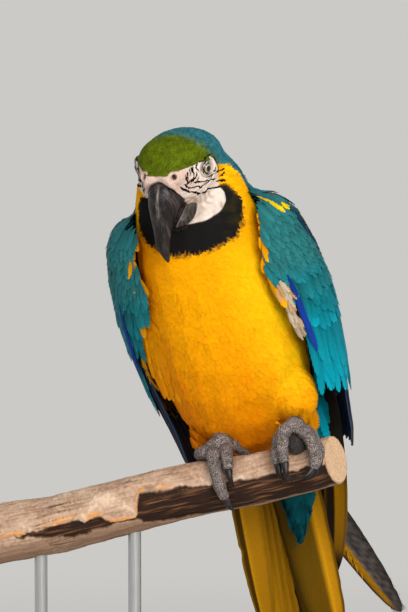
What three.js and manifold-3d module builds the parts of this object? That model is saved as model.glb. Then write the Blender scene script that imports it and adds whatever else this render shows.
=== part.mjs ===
// Blue-and-yellow macaw, life size, gripping a cut branch that a plain display stand holds up.
// Millimetres, +Z up. The bird looks along -Y, its left side is +X. The origin is on the underside
// of the stand's base, straight below the point where the bird grips the branch.

import * as THREE from 'three';
import { ParametricGeometry } from 'three/addons/geometries/ParametricGeometry.js';
import { mergeVertices } from 'three/addons/utils/BufferGeometryUtils.js';
import Module from 'manifold-3d';

// ---------------------------------------------------------------- driving sizes

const GAP = 0.3; // kept between two pieces that touch
const PERCH_HEIGHT = 456; // axis of the branch above the floor, under the bird

// Stand.
const BASE = { width: 330, depth: 270, thick: 16, corner: 26, x: -62, y: 26 };
const ROD = { radius: 6, places: [-205, -112] };

// Branch: a tapering length that rises to the bird's left and comes forward.
const BRANCH = { left: -262, right: 82, radiusLeft: 28.5, radiusRight: 22.5, rise: 14.4, forward: 15, y: -6 };

// Body: the trunk's frame stands at the level of the wrists, leans and turns from there.
const BODY = { at: [-50, -28, 238], pitch: 18, lean: -16, turn: -17 };
const HEAD = { at: [-67, -53, 285], pitch: 33, roll: 0, turn: -24.5 };

const WING_RAKE = 24; // how much lower a wing's rear edge starts than its wrist
const WING_SPREAD = { left: 3.5, right: 1.5 }; // degrees outwards from the trunk
const TAIL = { length: 480, thick: 1.3, step: 1.7, pairs: 6, width: 38 };

const degrees = THREE.MathUtils.degToRad;

// ---------------------------------------------------------------- solids

const wasm = await Module();
wasm.setup();

// A closed mesh becomes a solid; triangles that shrank to a line at a pole are dropped.
function solid(geometry) {
  geometry.deleteAttribute('normal');
  geometry.deleteAttribute('uv');
  const merged = mergeVertices(geometry);
  const index = merged.index.array;
  const kept = [];
  for (let i = 0; i < index.length; i += 3) {
    const [a, b, c] = [index[i], index[i + 1], index[i + 2]];
    if (a !== b && b !== c && c !== a) kept.push(a, b, c);
  }
  const positions = merged.attributes.position.array;
  if (signedVolume(positions, kept) < 0) kept.reverse();
  return new wasm.Manifold(new wasm.Mesh({
    numProp: 3,
    vertProperties: new Float32Array(positions),
    triVerts: new Uint32Array(kept),
  }));
}

function signedVolume(positions, index) {
  const corners = [0, 1, 2].map(() => new THREE.Vector3());
  let total = 0;
  for (let i = 0; i < index.length; i += 3) {
    corners.forEach((corner, k) => corner.fromArray(positions, 3 * index[i + k]));
    total += corners[0].dot(corners[1].clone().cross(corners[2]));
  }
  return total;
}

// Smooth values down a table: each row holds any count of numbers, read at 0 to 1 along the rows.
function smoothRows(rows) {
  const curves = [];
  for (let k = 0; k < rows[0].length; k += 3) {
    const points = rows.map((row) => new THREE.Vector3(row[k] ?? 0, row[k + 1] ?? 0, row[k + 2] ?? 0));
    curves.push(new THREE.CatmullRomCurve3(points, false, 'catmullrom', 0.5));
  }
  return (t) => curves.flatMap((curve) => curve.getPoint(t).toArray());
}

// A closed skin wrapped round a spine: ring(angle, along) gives its points, first and last rings are poles.
function wrapped(ring, sides, rings) {
  const point = (u, v, target) => target.copy(ring(2 * Math.PI * (u === 1 ? 0 : u), v));
  return new ParametricGeometry(point, sides, rings);
}

function superellipse(angle, power) {
  const reach = (value) => Math.sign(value) * Math.abs(value) ** (2 / power);
  return [reach(Math.cos(angle)), reach(Math.sin(angle))];
}

// Limb: rows of [x, y, z, half width, front depth, back depth], rings square to the spine.
function limb(rows, side, options = {}) {
  const { sides = 12, rings = 8, power = 2, grow = 0, rounding = 0.12 } = options;
  const at = smoothRows(rows);
  const spine = new THREE.CatmullRomCurve3(rows.map((row) => new THREE.Vector3(...row)));
  spine.curveType = 'catmullrom';
  return wrapped((angle, v) => {
    const [x, y, z, width, front, back] = at(v);
    const tangent = spine.getTangent(v);
    const across = side.clone().addScaledVector(tangent, -side.dot(tangent)).normalize();
    const forward = tangent.clone().cross(across);
    const end = Math.min(1, Math.min(v, 1 - v) / rounding);
    const round = Math.sqrt(Math.max(0, 1 - (1 - end) ** 2));
    const [c, s] = superellipse(angle, power);
    const depth = s > 0 ? front : back;
    const centre = new THREE.Vector3(x, y, z).addScaledVector(tangent, v === 0 ? -grow : v === 1 ? grow : 0);
    return centre.addScaledVector(across, c * (width * round + (round && grow)))
      .addScaledVector(forward, s * (depth * round + (round && grow)));
  }, sides, rings);
}

function posed(geometry, matrix) {
  return geometry.applyMatrix4(matrix);
}

function box(x0, x1, y0, y1, z0, z1) {
  const block = new THREE.BoxGeometry(x1 - x0, y1 - y0, z1 - z0);
  return block.translate((x0 + x1) / 2, (y0 + y1) / 2, (z0 + z1) / 2);
}

// Slivers cut off by a neighbour are left out.
function largest(shape) {
  return shape.decompose().sort((a, b) => b.volume() - a.volume())[0];
}

function joined(pieces) {
  return pieces.reduce((sum, piece) => sum.add(piece));
}

// ---------------------------------------------------------------- poses

const bodyPose = new THREE.Matrix4()
  .makeRotationFromEuler(new THREE.Euler(degrees(BODY.pitch), degrees(BODY.lean), degrees(BODY.turn), 'YXZ'))
  .setPosition(...BODY.at);

const headPose = new THREE.Matrix4()
  .makeRotationFromEuler(new THREE.Euler(degrees(HEAD.pitch), degrees(HEAD.roll), degrees(HEAD.turn), 'ZYX'))
  .setPosition(...HEAD.at);

const perchPose = new THREE.Matrix4()
  .makeRotationFromEuler(new THREE.Euler(0, degrees(-BRANCH.rise), degrees(-BRANCH.forward), 'ZYX'))
  .setPosition(0, BRANCH.y, 0);

const mirror = new THREE.Matrix4().makeScale(-1, 1, 1);
const LEFTWARD = new THREE.Vector3(1, 0, 0);
const PERCH_AXIS = LEFTWARD.clone().transformDirection(perchPose);

// ---------------------------------------------------------------- trunk, neck and head

// Down the body's own axis: [x, y, z, half width, front depth, back depth].
const TORSO_ROWS = [
  [2, 14, 68, 28, 14, 27],
  [2, 11, 46, 43, 18, 38],
  [1, 8, 22, 52, 26, 43],
  [0, 3, -4, 57, 38, 47],
  [0, 0, -36, 63, 52, 51],
  [0, 0, -76, 67, 61, 53],
  [0, 0, -118, 69, 64, 52],
  [-2, 2, -156, 68, 62, 49],
  [-3, 6, -192, 61, 53, 43],
  [-2, 12, -222, 47, 38, 35],
  [0, 18, -250, 30, 22, 24],
];

function torso(grow) {
  return solid(posed(limb(TORSO_ROWS, LEFTWARD, { sides: 20, rings: 13, grow, rounding: 0.13 }), bodyPose));
}

// Skull from the nape (+Y) to the face (-Y), level in the head's own frame, eyes at its origin.
const SKULL_ROWS = [
  [0, 52, -14, 23, 15, 22],
  [0, 38, -10, 31, 23, 31],
  [0, 20, -8, 36, 31, 36],
  [0, 2, -7, 37, 33, 36],
  [0, -13, -7, 32, 31, 32],
  [0, -25, -8, 24, 25, 24],
  [0, -36, -9, 18, 16, 15],
];

function skull(grow) {
  const rings = limb(SKULL_ROWS, LEFTWARD, { sides: 18, rings: 10, grow, rounding: 0.16 });
  return solid(posed(rings, headPose));
}

// ---------------------------------------------------------------- bill and eyes

// Bill: rings in the plane that joins a ridge line to a lower line, [forward, up] pairs in the head's
// frame. A flare makes each ring wider at its lower line and narrower at the ridge.
function bill(ridge, edge, halfWidths, options) {
  const { sides, rings, power, flare = 0, grow = 0 } = options;
  const ridgeAt = smoothRows(ridge);
  const edgeAt = smoothRows(edge);
  const widthAt = smoothRows(halfWidths.map((width) => [width]));
  return wrapped((angle, v) => {
    const [f0, u0] = ridgeAt(v);
    const [f1, u1] = edgeAt(v);
    const [width] = widthAt(v);
    const middle = new THREE.Vector3(0, -(f0 + f1) / 2, (u0 + u1) / 2);
    const high = new THREE.Vector3(0, -(f0 - f1) / 2, (u0 - u1) / 2);
    const pole = v === 0 || v === 1;
    const [c, s] = pole ? [0, 0] : superellipse(angle, power);
    const up = high.clone().normalize().multiplyScalar(high.length() + grow);
    const reach = width * (1 - flare * s) + grow;
    return middle.addScaledVector(LEFTWARD, c * reach).addScaledVector(up, s);
  }, sides, rings);
}

const UPPER_RIDGE = [
  [24, 4], [35, 6.5], [44, 3], [51, -6], [55.5, -18], [57.5, -31], [59, -45], [59, -57], [58, -66],
];
const UPPER_EDGE = [
  [18, -13], [21, -19], [31, -23], [38, -27], [43, -33], [47, -40], [52, -50], [56, -59], [57.5, -65.5],
];
const UPPER_WIDTHS = [12, 15, 14, 12.2, 9.8, 7.8, 5.8, 3.6, 1];

const LOWER_RIDGE = [[8, -18], [17, -20], [27, -25], [35, -30], [40, -35], [42, -39]];
const LOWER_EDGE = [[2, -30], [8, -37], [16, -43.5], [26, -48], [34, -47.5], [40, -42.5]];
const LOWER_WIDTHS = [8, 16, 18, 16, 10.5, 3];

function upperBill(grow) {
  const horn = bill(UPPER_RIDGE, UPPER_EDGE, UPPER_WIDTHS, { sides: 14, rings: 12, power: 2.3, flare: 0.16, grow });
  return solid(posed(horn, headPose));
}

function lowerBill(grow) {
  const horn = bill(LOWER_RIDGE, LOWER_EDGE, LOWER_WIDTHS, { sides: 12, rings: 9, power: 2.3, grow });
  return solid(posed(horn, headPose));
}

const EYE = { radius: 7.2, aside: 31, forward: 1, up: 0 };

function eye(side, grow) {
  const ball = new THREE.SphereGeometry(EYE.radius + grow, 10, 6);
  ball.translate(side * EYE.aside, -EYE.forward, EYE.up);
  return solid(posed(ball, headPose));
}

// ---------------------------------------------------------------- thighs

const THIGH_ROWS = {
  left: [
    [33, 4, 104, 14, 14, 14],
    [38, -4, 86, 21, 23, 22],
    [41, -13, 68, 21, 22, 22],
    [42, -21, 51, 14, 14, 15],
  ],
  right: [
    [-33, 14, 92, 14, 14, 14],
    [-30, 10, 72, 20, 19, 22],
    [-27, 5, 52, 19, 17, 21],
    [-25, 1, 35, 13, 12, 14],
  ],
};

function thigh(side, grow) {
  return solid(limb(THIGH_ROWS[side], LEFTWARD, { sides: 12, rings: 7, grow, rounding: 0.3 }));
}

// ---------------------------------------------------------------- wings

// Shell round the trunk: [height, half breadth, half depth, front angle, rear angle, half thickness].
const COVERT_ROWS = [
  [14, 62, 36, -8, 52, 3],
  [6, 70, 41, -26, 66, 8],
  [-12, 79, 46, -36, 73, 11],
  [-44, 86, 51, -40, 77, 11],
  [-86, 89, 53, -39, 79, 9.5],
  [-126, 87, 53, -36, 80, 7],
  [-160, 83, 52, -30, 80, 5.5],
  [-184, 77, 51, -26, 78, 3.6],
  [-198, 73, 50, -10, 66, 2],
];
const SECONDARY_ROWS = [
  [-112, 76, 44, 10, 72, 1.5],
  [-150, 77, 46, -8, 82, 2.4],
  [-196, 75, 50, -4, 84, 2.2],
  [-232, 71, 54, 4, 82, 1.6],
  [-262, 63, 57, 16, 70, 0.9],
];
const WING_CENTRE = 8; // how far behind the trunk's axis the shells are centred

function shell(rows, options) {
  const { sides, rings, grow = 0 } = options;
  const at = smoothRows(rows);
  return wrapped((angle, v) => {
    const [height, breadth, depth, front, rear, thick] = at(v);
    const around = angle / Math.PI; // 0 front edge, 1 rear edge, 2 back at the front edge
    const across = around <= 1 ? around : 2 - around;
    const face = around <= 1 ? 1 : -1;
    const pole = v === 0 || v === 1;
    const place = pole ? 0.5 : across;
    const turn = degrees(front + (rear - front) * place);
    const outward = new THREE.Vector2(Math.cos(turn) / breadth, Math.sin(turn) / depth).normalize();
    const ends = Math.sqrt(Math.sin(Math.PI * Math.min(Math.max(across, 0), 1)));
    const offset = pole ? 0 : face * (thick * ends + grow);
    return new THREE.Vector3(
      breadth * Math.cos(turn) + offset * outward.x,
      WING_CENTRE + depth * Math.sin(turn) + offset * outward.y,
      height - WING_RAKE * place + (v === 0 ? grow : v === 1 ? -grow : 0),
    );
  }, sides, rings);
}

// Feather: a long flat blade along a bent line from root to tip, its rings closer towards the tip.
function blade(line, flat, options) {
  const { width, thick, grow = 0, sides = 6, rings = 8 } = options;
  return wrapped((angle, v) => {
    const share = 1 - (1 - v) ** 1.4;
    const along = line.getTangent(share);
    const normal = flat.clone().addScaledVector(along, -flat.dot(along)).normalize();
    const side = normal.clone().cross(along);
    const start = Math.min(1, share / 0.25);
    const spread = width / 2 * (0.35 + 0.65 * start) * (1 - share ** 4) ** 0.6;
    const pole = v === 0 || v === 1;
    const [c, s] = pole ? [0, 0] : [Math.cos(angle), Math.sin(angle)];
    return line.getPoint(share)
      .addScaledVector(normal, s * (thick / 2 + grow))
      .addScaledVector(side, c * (spread + grow));
  }, sides, rings);
}

// Primaries of the left wing in the trunk's frame: each next one is shorter and lies further out.
const PRIMARIES = {
  count: 4,
  root: [55, 36, -150],
  bend: [46, 39, -280],
  tip: [17, 46, -387],
  step: [4, 3, 26],
};

function wingPose(side) {
  const spread = new THREE.Matrix4().makeRotationY(degrees(-WING_SPREAD[side]));
  const place = side === 'left' ? bodyPose.clone() : bodyPose.clone().multiply(mirror);
  return place.multiply(spread);
}

function wingShell(rows, side, options) {
  return solid(posed(shell(rows, options), wingPose(side)));
}

function primaries(side, grow) {
  const { count, root, bend, tip, step } = PRIMARIES;
  const blades = [];
  for (let k = 0; k < count; k += 1) {
    const shift = (start, share) => new THREE.Vector3(...start).addScaledVector(new THREE.Vector3(...step), k * share);
    const line = new THREE.QuadraticBezierCurve3(shift(root, 0.3), shift(bend, 0.5), shift(tip, 1));
    const feather = blade(line, new THREE.Vector3(0.6, 0.8, 0), { width: 32, thick: 2.2, rings: 7, grow });
    blades.push(solid(posed(feather, wingPose(side))));
  }
  return joined(blades);
}

// ---------------------------------------------------------------- tail

const TAIL_ROOT = new THREE.Vector3(0, 34, -232);
const TAIL_AIM = new THREE.Vector3(-0.08, 0.03, -1).normalize();
const WORN = { splay: 15, reach: 222 }; // the outermost left feather stands away from the rest

// Coverts over and under the tail's root, in the trunk's frame.
const TAIL_COVERTS = {
  under: [
    [0, 16, -218, 30, 16, 14],
    [0, 9, -252, 26, 8, 7],
    [1, 8, -290, 18, 5, 5],
    [2, 9, -325, 9, 3, 3],
    [3, 10, -350, 3, 1.5, 1.5],
  ],
  upper: [
    [0, 40, -205, 34, 14, 12],
    [-3, 41, -250, 27, 4, 7],
    [-8, 43, -296, 16, 3, 4],
    [-11, 44, -332, 4, 2, 2],
  ],
};

function tailCoverts(name, grow) {
  const rows = TAIL_COVERTS[name];
  return solid(posed(limb(rows, LEFTWARD, { sides: 8, rings: 7, grow, rounding: 0.1 }), bodyPose));
}

// Rectrices of one side, longest on top next to the middle, each next one shorter, lower and more aside.
function rectrix(k, side, grow) {
  const worn = side > 0 && k === TAIL.pairs - 1;
  const length = worn ? WORN.reach : TAIL.length * (1 - 0.108 * k);
  const drop = -TAIL.step * (2 * k + (side < 0 ? 1 : 0));
  const splay = side * degrees(worn ? WORN.splay : 0.3 + 0.4 * k);
  const root = TAIL_ROOT.clone().add(new THREE.Vector3(side * (11 + 3.4 * k), drop, 0));
  const aim = TAIL_AIM.clone().applyAxisAngle(new THREE.Vector3(0, 1, 0), -splay);
  const line = new THREE.LineCurve3(root, root.clone().addScaledVector(aim, length));
  const feather = blade(line, new THREE.Vector3(0, 1, 0), { width: TAIL.width - 1.4 * k, thick: TAIL.thick, grow });
  return solid(posed(feather, bodyPose));
}

// ---------------------------------------------------------------- feet

function perchRadius(x) {
  const share = (x - BRANCH.left) / (BRANCH.right - BRANCH.left);
  return BRANCH.radiusLeft + (BRANCH.radiusRight - BRANCH.radiusLeft) * share;
}

// Toe laid round the branch: angles run from 90 on top, through 0 in front, to below.
function gripPath(x0, x1, from, to, radius) {
  const steps = 5;
  const points = [];
  for (let i = 0; i <= steps; i += 1) {
    const share = i / steps;
    const turn = degrees(from + (to - from) * share);
    const x = x0 + (x1 - x0) * share;
    const reach = perchRadius(x) + radius;
    points.push(new THREE.Vector3(x, -reach * Math.cos(turn), reach * Math.sin(turn)).applyMatrix4(perchPose));
  }
  return points;
}

function tapered(points, start, end, options) {
  const rows = points.map((point, i) => {
    const size = start + (end - start) * i / (points.length - 1);
    return [...point.toArray(), size, size, size];
  });
  return limb(rows, PERCH_AXIS, options);
}

// The right foot grips: toes 2 and 3 go forward over the branch, toes 1 and 4 go back over it.
const GRIP = {
  1: { x: [-12, 1], turn: [104, 172, 205] },
  2: { x: [-12, -11], turn: [76, 10, -24] },
  3: { x: [-25, -23], turn: [76, -46, -88] },
  4: { x: [-30, -46], turn: [102, 180, 215] },
};

// The left foot is held closed in front of the branch, its palm to the front.
const CLOSED = {
  1: [[30, -37, 50], [22, -42, 41], [20, -46, 31], [22, -48, 21], [25, -49, 13], [30, -49, 6]],
  2: [[34, -45, 57], [28, -51, 47], [25.5, -55, 37], [28, -54, 26], [32, -53, 15], [38, -50, 5]],
  3: [[41, -45, 58], [50, -50, 50], [56, -53, 38], [57, -53, 26], [50, -53, 14], [40, -51, 9]],
  4: [[45, -36, 51], [56, -39, 45], [62, -43, 35], [62, -45, 25], [58, -47, 16], [51, -48, 11]],
};
const TOE = { root: 6, end: 4.6, claw: 3.3, tip: 0.7 };
const CLAW_SHARE = 0.66; // where the claw starts along a closed toe

function toePaths(side, toe) {
  if (side === 'right') {
    const { x, turn } = GRIP[toe];
    const digit = gripPath(x[0], x[1], turn[0], turn[1], TOE.end + 0.8);
    return [digit, gripPath(x[1], x[1] + 2, turn[1] + Math.sign(turn[0] - turn[1]) * 4, turn[2], TOE.claw - 0.6)];
  }
  const line = new THREE.CatmullRomCurve3(CLOSED[toe].map((point) => new THREE.Vector3(...point)));
  const sample = (from, to) => [0, 1, 2, 3, 4].map((i) => line.getPoint(from + (to - from) * i / 4));
  return [sample(0, CLAW_SHARE), sample(CLAW_SHARE - 0.04, 1)];
}

function toe(side, number, grow) {
  const [digit] = toePaths(side, number);
  const stout = side === 'left' ? 1.12 : 1;
  return solid(tapered(digit, TOE.root * stout, TOE.end * stout, { sides: 8, rings: 6, grow, rounding: 0.14 }));
}

function claw(side, number, grow) {
  const [, nail] = toePaths(side, number);
  return solid(tapered(nail, TOE.claw, TOE.tip, { sides: 5, rings: 4, grow, rounding: 0.08 }));
}

// Foot: the short leg below the feathers and the pad that the toes leave.
const FOOT_ROWS = {
  right: [
    [-22, 8, 62, 9, 9, 9],
    [-23, 2, 48, 10, 10, 10],
    [-22, -3, 37, 15, 12, 12],
    [-21, -5, 29, 20, 15, 14],
    [-21, -5, 22, 18, 13, 12],
  ],
  left: [
    [42, -12, 54, 10, 9, 10],
    [40, -28, 55, 12, 9, 9],
    [38, -40, 51, 14, 8, 9],
    [40, -43, 42, 13, 5, 6],
    [41, -43, 33, 9, 4, 4],
  ],
};

function foot(side, grow) {
  return solid(limb(FOOT_ROWS[side], PERCH_AXIS, { sides: 10, rings: 6, grow, rounding: 0.16 }));
}

// ---------------------------------------------------------------- branch and stand

const ENDS = 70; // spare length past both saw cuts

function branch(grow) {
  const { left, right } = BRANCH;
  const rows = [];
  const stretches = 7;
  for (let i = 0; i <= stretches; i += 1) {
    const x = left - ENDS + (right - left + 2 * ENDS) * i / stretches;
    const knot = 1.3 * Math.sin(i * 2.1);
    const girth = perchRadius(x);
    rows.push([x, 0.8 * Math.sin(i * 1.7), knot, girth, girth + knot, girth - 0.5 * knot]);
  }
  const log = limb(rows, new THREE.Vector3(0, 1, 0), { sides: 16, rings: 10, grow, rounding: 0.01 });
  const bark = solid(posed(log, perchPose));
  const trimLeft = box(left - 2 * ENDS, left, -80, 80, -80, 80);
  const trimRight = box(0, 2 * ENDS, -80, 80, -80, 80).rotateZ(degrees(-12)).translate(right, 0, 0);
  return bark.subtract(solid(posed(trimLeft, perchPose))).subtract(solid(posed(trimRight, perchPose)));
}

function plate(lift) {
  const { width, depth, thick, corner, x, y } = BASE;
  const outline = new THREE.Shape();
  const [w, d] = [width / 2 - corner, depth / 2 - corner];
  outline.absarc(w, d, corner, 0, Math.PI / 2);
  outline.absarc(-w, d, corner, Math.PI / 2, Math.PI);
  outline.absarc(-w, -d, corner, Math.PI, 1.5 * Math.PI);
  outline.absarc(w, -d, corner, 1.5 * Math.PI, 2 * Math.PI);
  const slab = new THREE.ExtrudeGeometry(outline, { depth: thick, bevelEnabled: false, curveSegments: 6 });
  return slab.translate(x, y, lift);
}

function rod(x, grow) {
  const foot = new THREE.Vector3(x, 0, 0).applyMatrix4(perchPose);
  const top = foot.z + grow;
  const bottom = -PERCH_HEIGHT + BASE.thick + GAP;
  const bar = new THREE.CylinderGeometry(ROD.radius + grow, ROD.radius + grow, top - bottom, 20);
  return bar.rotateX(Math.PI / 2).translate(foot.x, foot.y, (top + bottom) / 2);
}

// ---------------------------------------------------------------- assembly

const group = new THREE.Group();
group.name = 'macaw_on_stand';
const bird = new THREE.Group();
bird.position.z = PERCH_HEIGHT;
group.add(bird);

const FINISH = {
  yellow: { color: 0xf5a800, roughness: 0.8 },
  green: { color: 0x4f7a18, roughness: 0.8 },
  turquoise: { color: 0x1199a8, roughness: 0.7 },
  navy: { color: 0x1d2c55, roughness: 0.6 },
  gold: { color: 0xa8780f, roughness: 0.7 },
  horn: { color: 0x252021, roughness: 0.35 },
  foot: { color: 0x857a78, roughness: 0.85 },
  iris: { color: 0xe8dfa0, roughness: 0.1 },
  bark: { color: 0xb0957c, roughness: 0.9 },
  plate: { color: 0x2b2b2d, roughness: 0.45 },
  steel: { color: 0xb9bbbd, roughness: 0.3, metalness: 1 },
};

function show(name, shape, finish, parent = bird) {
  let geometry = shape;
  if (shape instanceof wasm.Manifold) {
    const { vertProperties, triVerts } = shape.getMesh();
    geometry = new THREE.BufferGeometry();
    geometry.setAttribute('position', new THREE.BufferAttribute(new Float32Array(vertProperties), 3));
    geometry.setIndex(new THREE.BufferAttribute(new Uint32Array(triVerts), 1));
    geometry.computeVertexNormals();
  }
  const mesh = new THREE.Mesh(geometry, new THREE.MeshStandardMaterial(FINISH[finish]));
  mesh.name = name;
  parent.add(mesh);
}

// Each piece gives way, by the gap, to all that were placed before it.
let taken = null;
function place(name, make, finish) {
  const whole = make(0);
  show(name, taken ? largest(whole.subtract(taken)) : whole, finish);
  const spaced = make(GAP).add(whole);
  taken = taken ? taken.add(spaced) : spaced;
}

// Stand and branch.
const bored = joined(ROD.places.map((x) => solid(rod(x, GAP))));
place('perch_branch', (grow) => branch(grow).subtract(bored), 'bark');
ROD.places.forEach((x, i) => show(`stand_rod_${i + 1}`, rod(x, 0), 'steel'));
show('stand_base', plate(-PERCH_HEIGHT), 'plate');

// Eyes, thighs, then one whole of flesh, parted by thin flat cuts in the trunk's frame.
const HEAD_CUT = 26; // height of the cut under the head
const NECK_CUT = -14; // height of the cut above the trunk
place('eye_left', (grow) => eye(1, grow), 'iris');
place('eye_right', (grow) => eye(-1, grow), 'iris');
place('thigh_left', (grow) => thigh('left', grow), 'yellow');
place('thigh_right', (grow) => thigh('right', grow), 'yellow');
const slice = (low, high) => solid(posed(box(-150, 150, -150, 150, low, high), bodyPose));
const whole = torso(0).add(skull(0)).subtract(taken);
show('head', largest(whole.intersect(slice(HEAD_CUT + GAP / 2, 200))), 'green');
show('neck', largest(whole.intersect(slice(NECK_CUT + GAP / 2, HEAD_CUT - GAP / 2))), 'yellow');
show('trunk', largest(whole.intersect(slice(-400, NECK_CUT - GAP / 2))), 'yellow');
taken = taken.add(torso(GAP)).add(skull(GAP)).add(whole);
place('bill_upper', upperBill, 'horn');
place('bill_lower', lowerBill, 'horn');

// Feet.
['right', 'left'].forEach((side) => {
  place(`foot_${side}`, (grow) => foot(side, grow), 'foot');
  [1, 2, 3, 4].forEach((number) => {
    place(`toe_${side}_${number}`, (grow) => toe(side, number, grow), 'foot');
    place(`claw_${side}_${number}`, (grow) => claw(side, number, grow), 'horn');
  });
});

// Wings.
['left', 'right'].forEach((side) => {
  const coverts = (grow) => wingShell(COVERT_ROWS, side, { sides: 22, rings: 10, grow });
  const secondaries = (grow) => wingShell(SECONDARY_ROWS, side, { sides: 16, rings: 7, grow });
  place(`wing_${side}_coverts`, coverts, 'turquoise');
  place(`wing_${side}_secondaries`, secondaries, 'navy');
  place(`wing_${side}_primaries`, (grow) => primaries(side, grow), 'navy');
});

// Tail.
place('tail_coverts_under', (grow) => tailCoverts('under', grow), 'turquoise');
place('tail_coverts_upper', (grow) => tailCoverts('upper', grow), 'turquoise');
for (let k = 0; k < TAIL.pairs; k += 1) {
  place(`tail_left_${k + 1}`, (grow) => rectrix(k, 1, grow), 'gold');
  place(`tail_right_${k + 1}`, (grow) => rectrix(k, -1, grow), 'gold');
}

export default group;
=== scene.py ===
"""Looks of the life-size macaw on its cut branch: skin, plumage, horn, wood, stand and studio."""

import math
from functools import lru_cache
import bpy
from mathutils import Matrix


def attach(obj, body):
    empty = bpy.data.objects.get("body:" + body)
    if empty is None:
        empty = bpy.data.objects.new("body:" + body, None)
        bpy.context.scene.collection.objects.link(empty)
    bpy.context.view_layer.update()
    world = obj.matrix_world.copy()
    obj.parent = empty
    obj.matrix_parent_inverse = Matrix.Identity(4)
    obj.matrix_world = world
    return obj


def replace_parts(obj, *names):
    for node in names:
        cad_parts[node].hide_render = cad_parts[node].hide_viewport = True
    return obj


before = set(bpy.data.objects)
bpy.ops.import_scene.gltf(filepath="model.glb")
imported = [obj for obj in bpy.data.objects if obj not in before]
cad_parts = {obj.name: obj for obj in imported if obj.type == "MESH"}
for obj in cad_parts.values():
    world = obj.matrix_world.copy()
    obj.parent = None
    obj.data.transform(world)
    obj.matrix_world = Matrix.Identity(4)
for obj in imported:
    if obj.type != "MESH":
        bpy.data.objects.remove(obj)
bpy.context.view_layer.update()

from types import SimpleNamespace

import bmesh
import bpy
import numpy as np
from mathutils import Matrix, Vector, kdtree, noise
from mathutils.bvhtree import BVHTree

bl_info = {
    "name": "Macaw on a branch",
    "version": (1, 0, 0),
    "blender": (4, 5, 0),
    "location": "3D View > Sidebar > Macaw",
    "description": "Skin, feathers, bill, feet, branch, stand and studio of a life-size macaw",
    "category": "Add Mesh",
}

MM = 0.001
PERCH_HEIGHT = 456  # axis of the branch above the floor, in millimetres


# ---- small maths

def colour(code):
    """Linear colour from a hex code."""
    channels = [int(code[i:i + 2], 16) / 255 for i in (1, 3, 5)]
    return tuple(c / 12.92 if c <= 0.04045 else ((c + 0.055) / 1.055) ** 2.4 for c in channels)


def smooth(value, low, high):
    """0 at low and 1 at high, smooth between; low may be the larger."""
    share = np.clip((value - low) / (high - low), 0, 1)
    return share * share * (3 - 2 * share)


def beside(*columns):
    """Rows made of columns; a plain number fills its column."""
    return np.stack(np.broadcast_arrays(*columns), -1)


def unit(vectors):
    """Vectors of length 1."""
    return vectors / np.maximum(np.linalg.norm(vectors, axis=-1, keepdims=True), 1e-12)


def blend(first, second, share):
    """Mix of two colours or rows of colours, share by share."""
    share = np.asarray(share, float)[..., None]
    return np.asarray(first) * (1 - share) + np.asarray(second) * share


def tangent(vectors, normals):
    """Unit vectors laid flat on the surface that has these normals."""
    return unit(vectors - normals * np.sum(vectors * normals, axis=-1, keepdims=True))


def grain(points, scale, seed=0.0):
    """Smooth noise from -1 to 1 at places in metres; scale is the size of its lumps in millimetres."""
    shift = Vector((seed, 2.3 * seed, -1.7 * seed))
    return np.array([noise.noise(Vector(p) / (scale * MM) + shift) for p in points.tolist()])


def travelled(line):
    """Distance along a line at each of its points."""
    return np.concatenate([[0], np.cumsum(np.linalg.norm(np.diff(line, axis=0), axis=1))])


def bearing(place):
    """Degrees round the up axis from the front, towards the left."""
    return np.degrees(np.arctan2(place[:, 0], -place[:, 1]))


class Frame:
    """Named axes on the object. Places in it are [left, back, up] in millimetres."""

    def __init__(self, order, angles, at, spread=0.0, side=1):
        turn = {axis: Matrix.Rotation(math.radians(angle), 3, axis) for axis, angle in zip("XYZ", angles)}
        axes = turn[order[0]] @ turn[order[1]] @ turn[order[2]]
        axes = axes @ Matrix.Diagonal((side, 1, 1)) @ Matrix.Rotation(math.radians(-spread), 3, "Y")
        self.axes = np.array(axes)
        self.at = np.array(at, float) + [0, 0, PERCH_HEIGHT]

    def local(self, points):
        return (np.asarray(points) / MM - self.at) @ self.axes

    def world(self, places):
        return (np.asarray(places, float) @ self.axes.T + self.at) * MM

    def direction(self, vector):
        return unit(np.asarray(vector, float) @ self.axes.T)


TRUNK = Frame("YXZ", (18, -16, -17), (-50, -28, 238))
HEAD = Frame("ZYX", (33, 0, -24.5), (-67, -53, 285))
PERCH = Frame("ZYX", (0, -14.4, -15), (0, -6, 0))
WING = {
    "left": Frame("YXZ", (18, -16, -17), (-50, -28, 238), spread=3.5),
    "right": Frame("YXZ", (18, -16, -17), (-50, -28, 238), spread=1.5, side=-1),
}
EYE = {"radius": 6.6, "at": (29.8, -4.4, 1.3), "axis": (0.93, -0.36, 0.04)}
NOSTRIL = {"size": 1.95, "at": (14.3, 32.0, 9.2), "axis": (0.49, 0.82, 0.295)}
BILL_BASE = HEAD.world([0, -28, 2])
# Folds of the cheek: distance from the corner of the mouth and depth.
FOLDS = [(11.0, 0.7), (14.5, 0.8), (18.5, 0.55), (23.0, 0.35)]


# ---- surfaces

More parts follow.
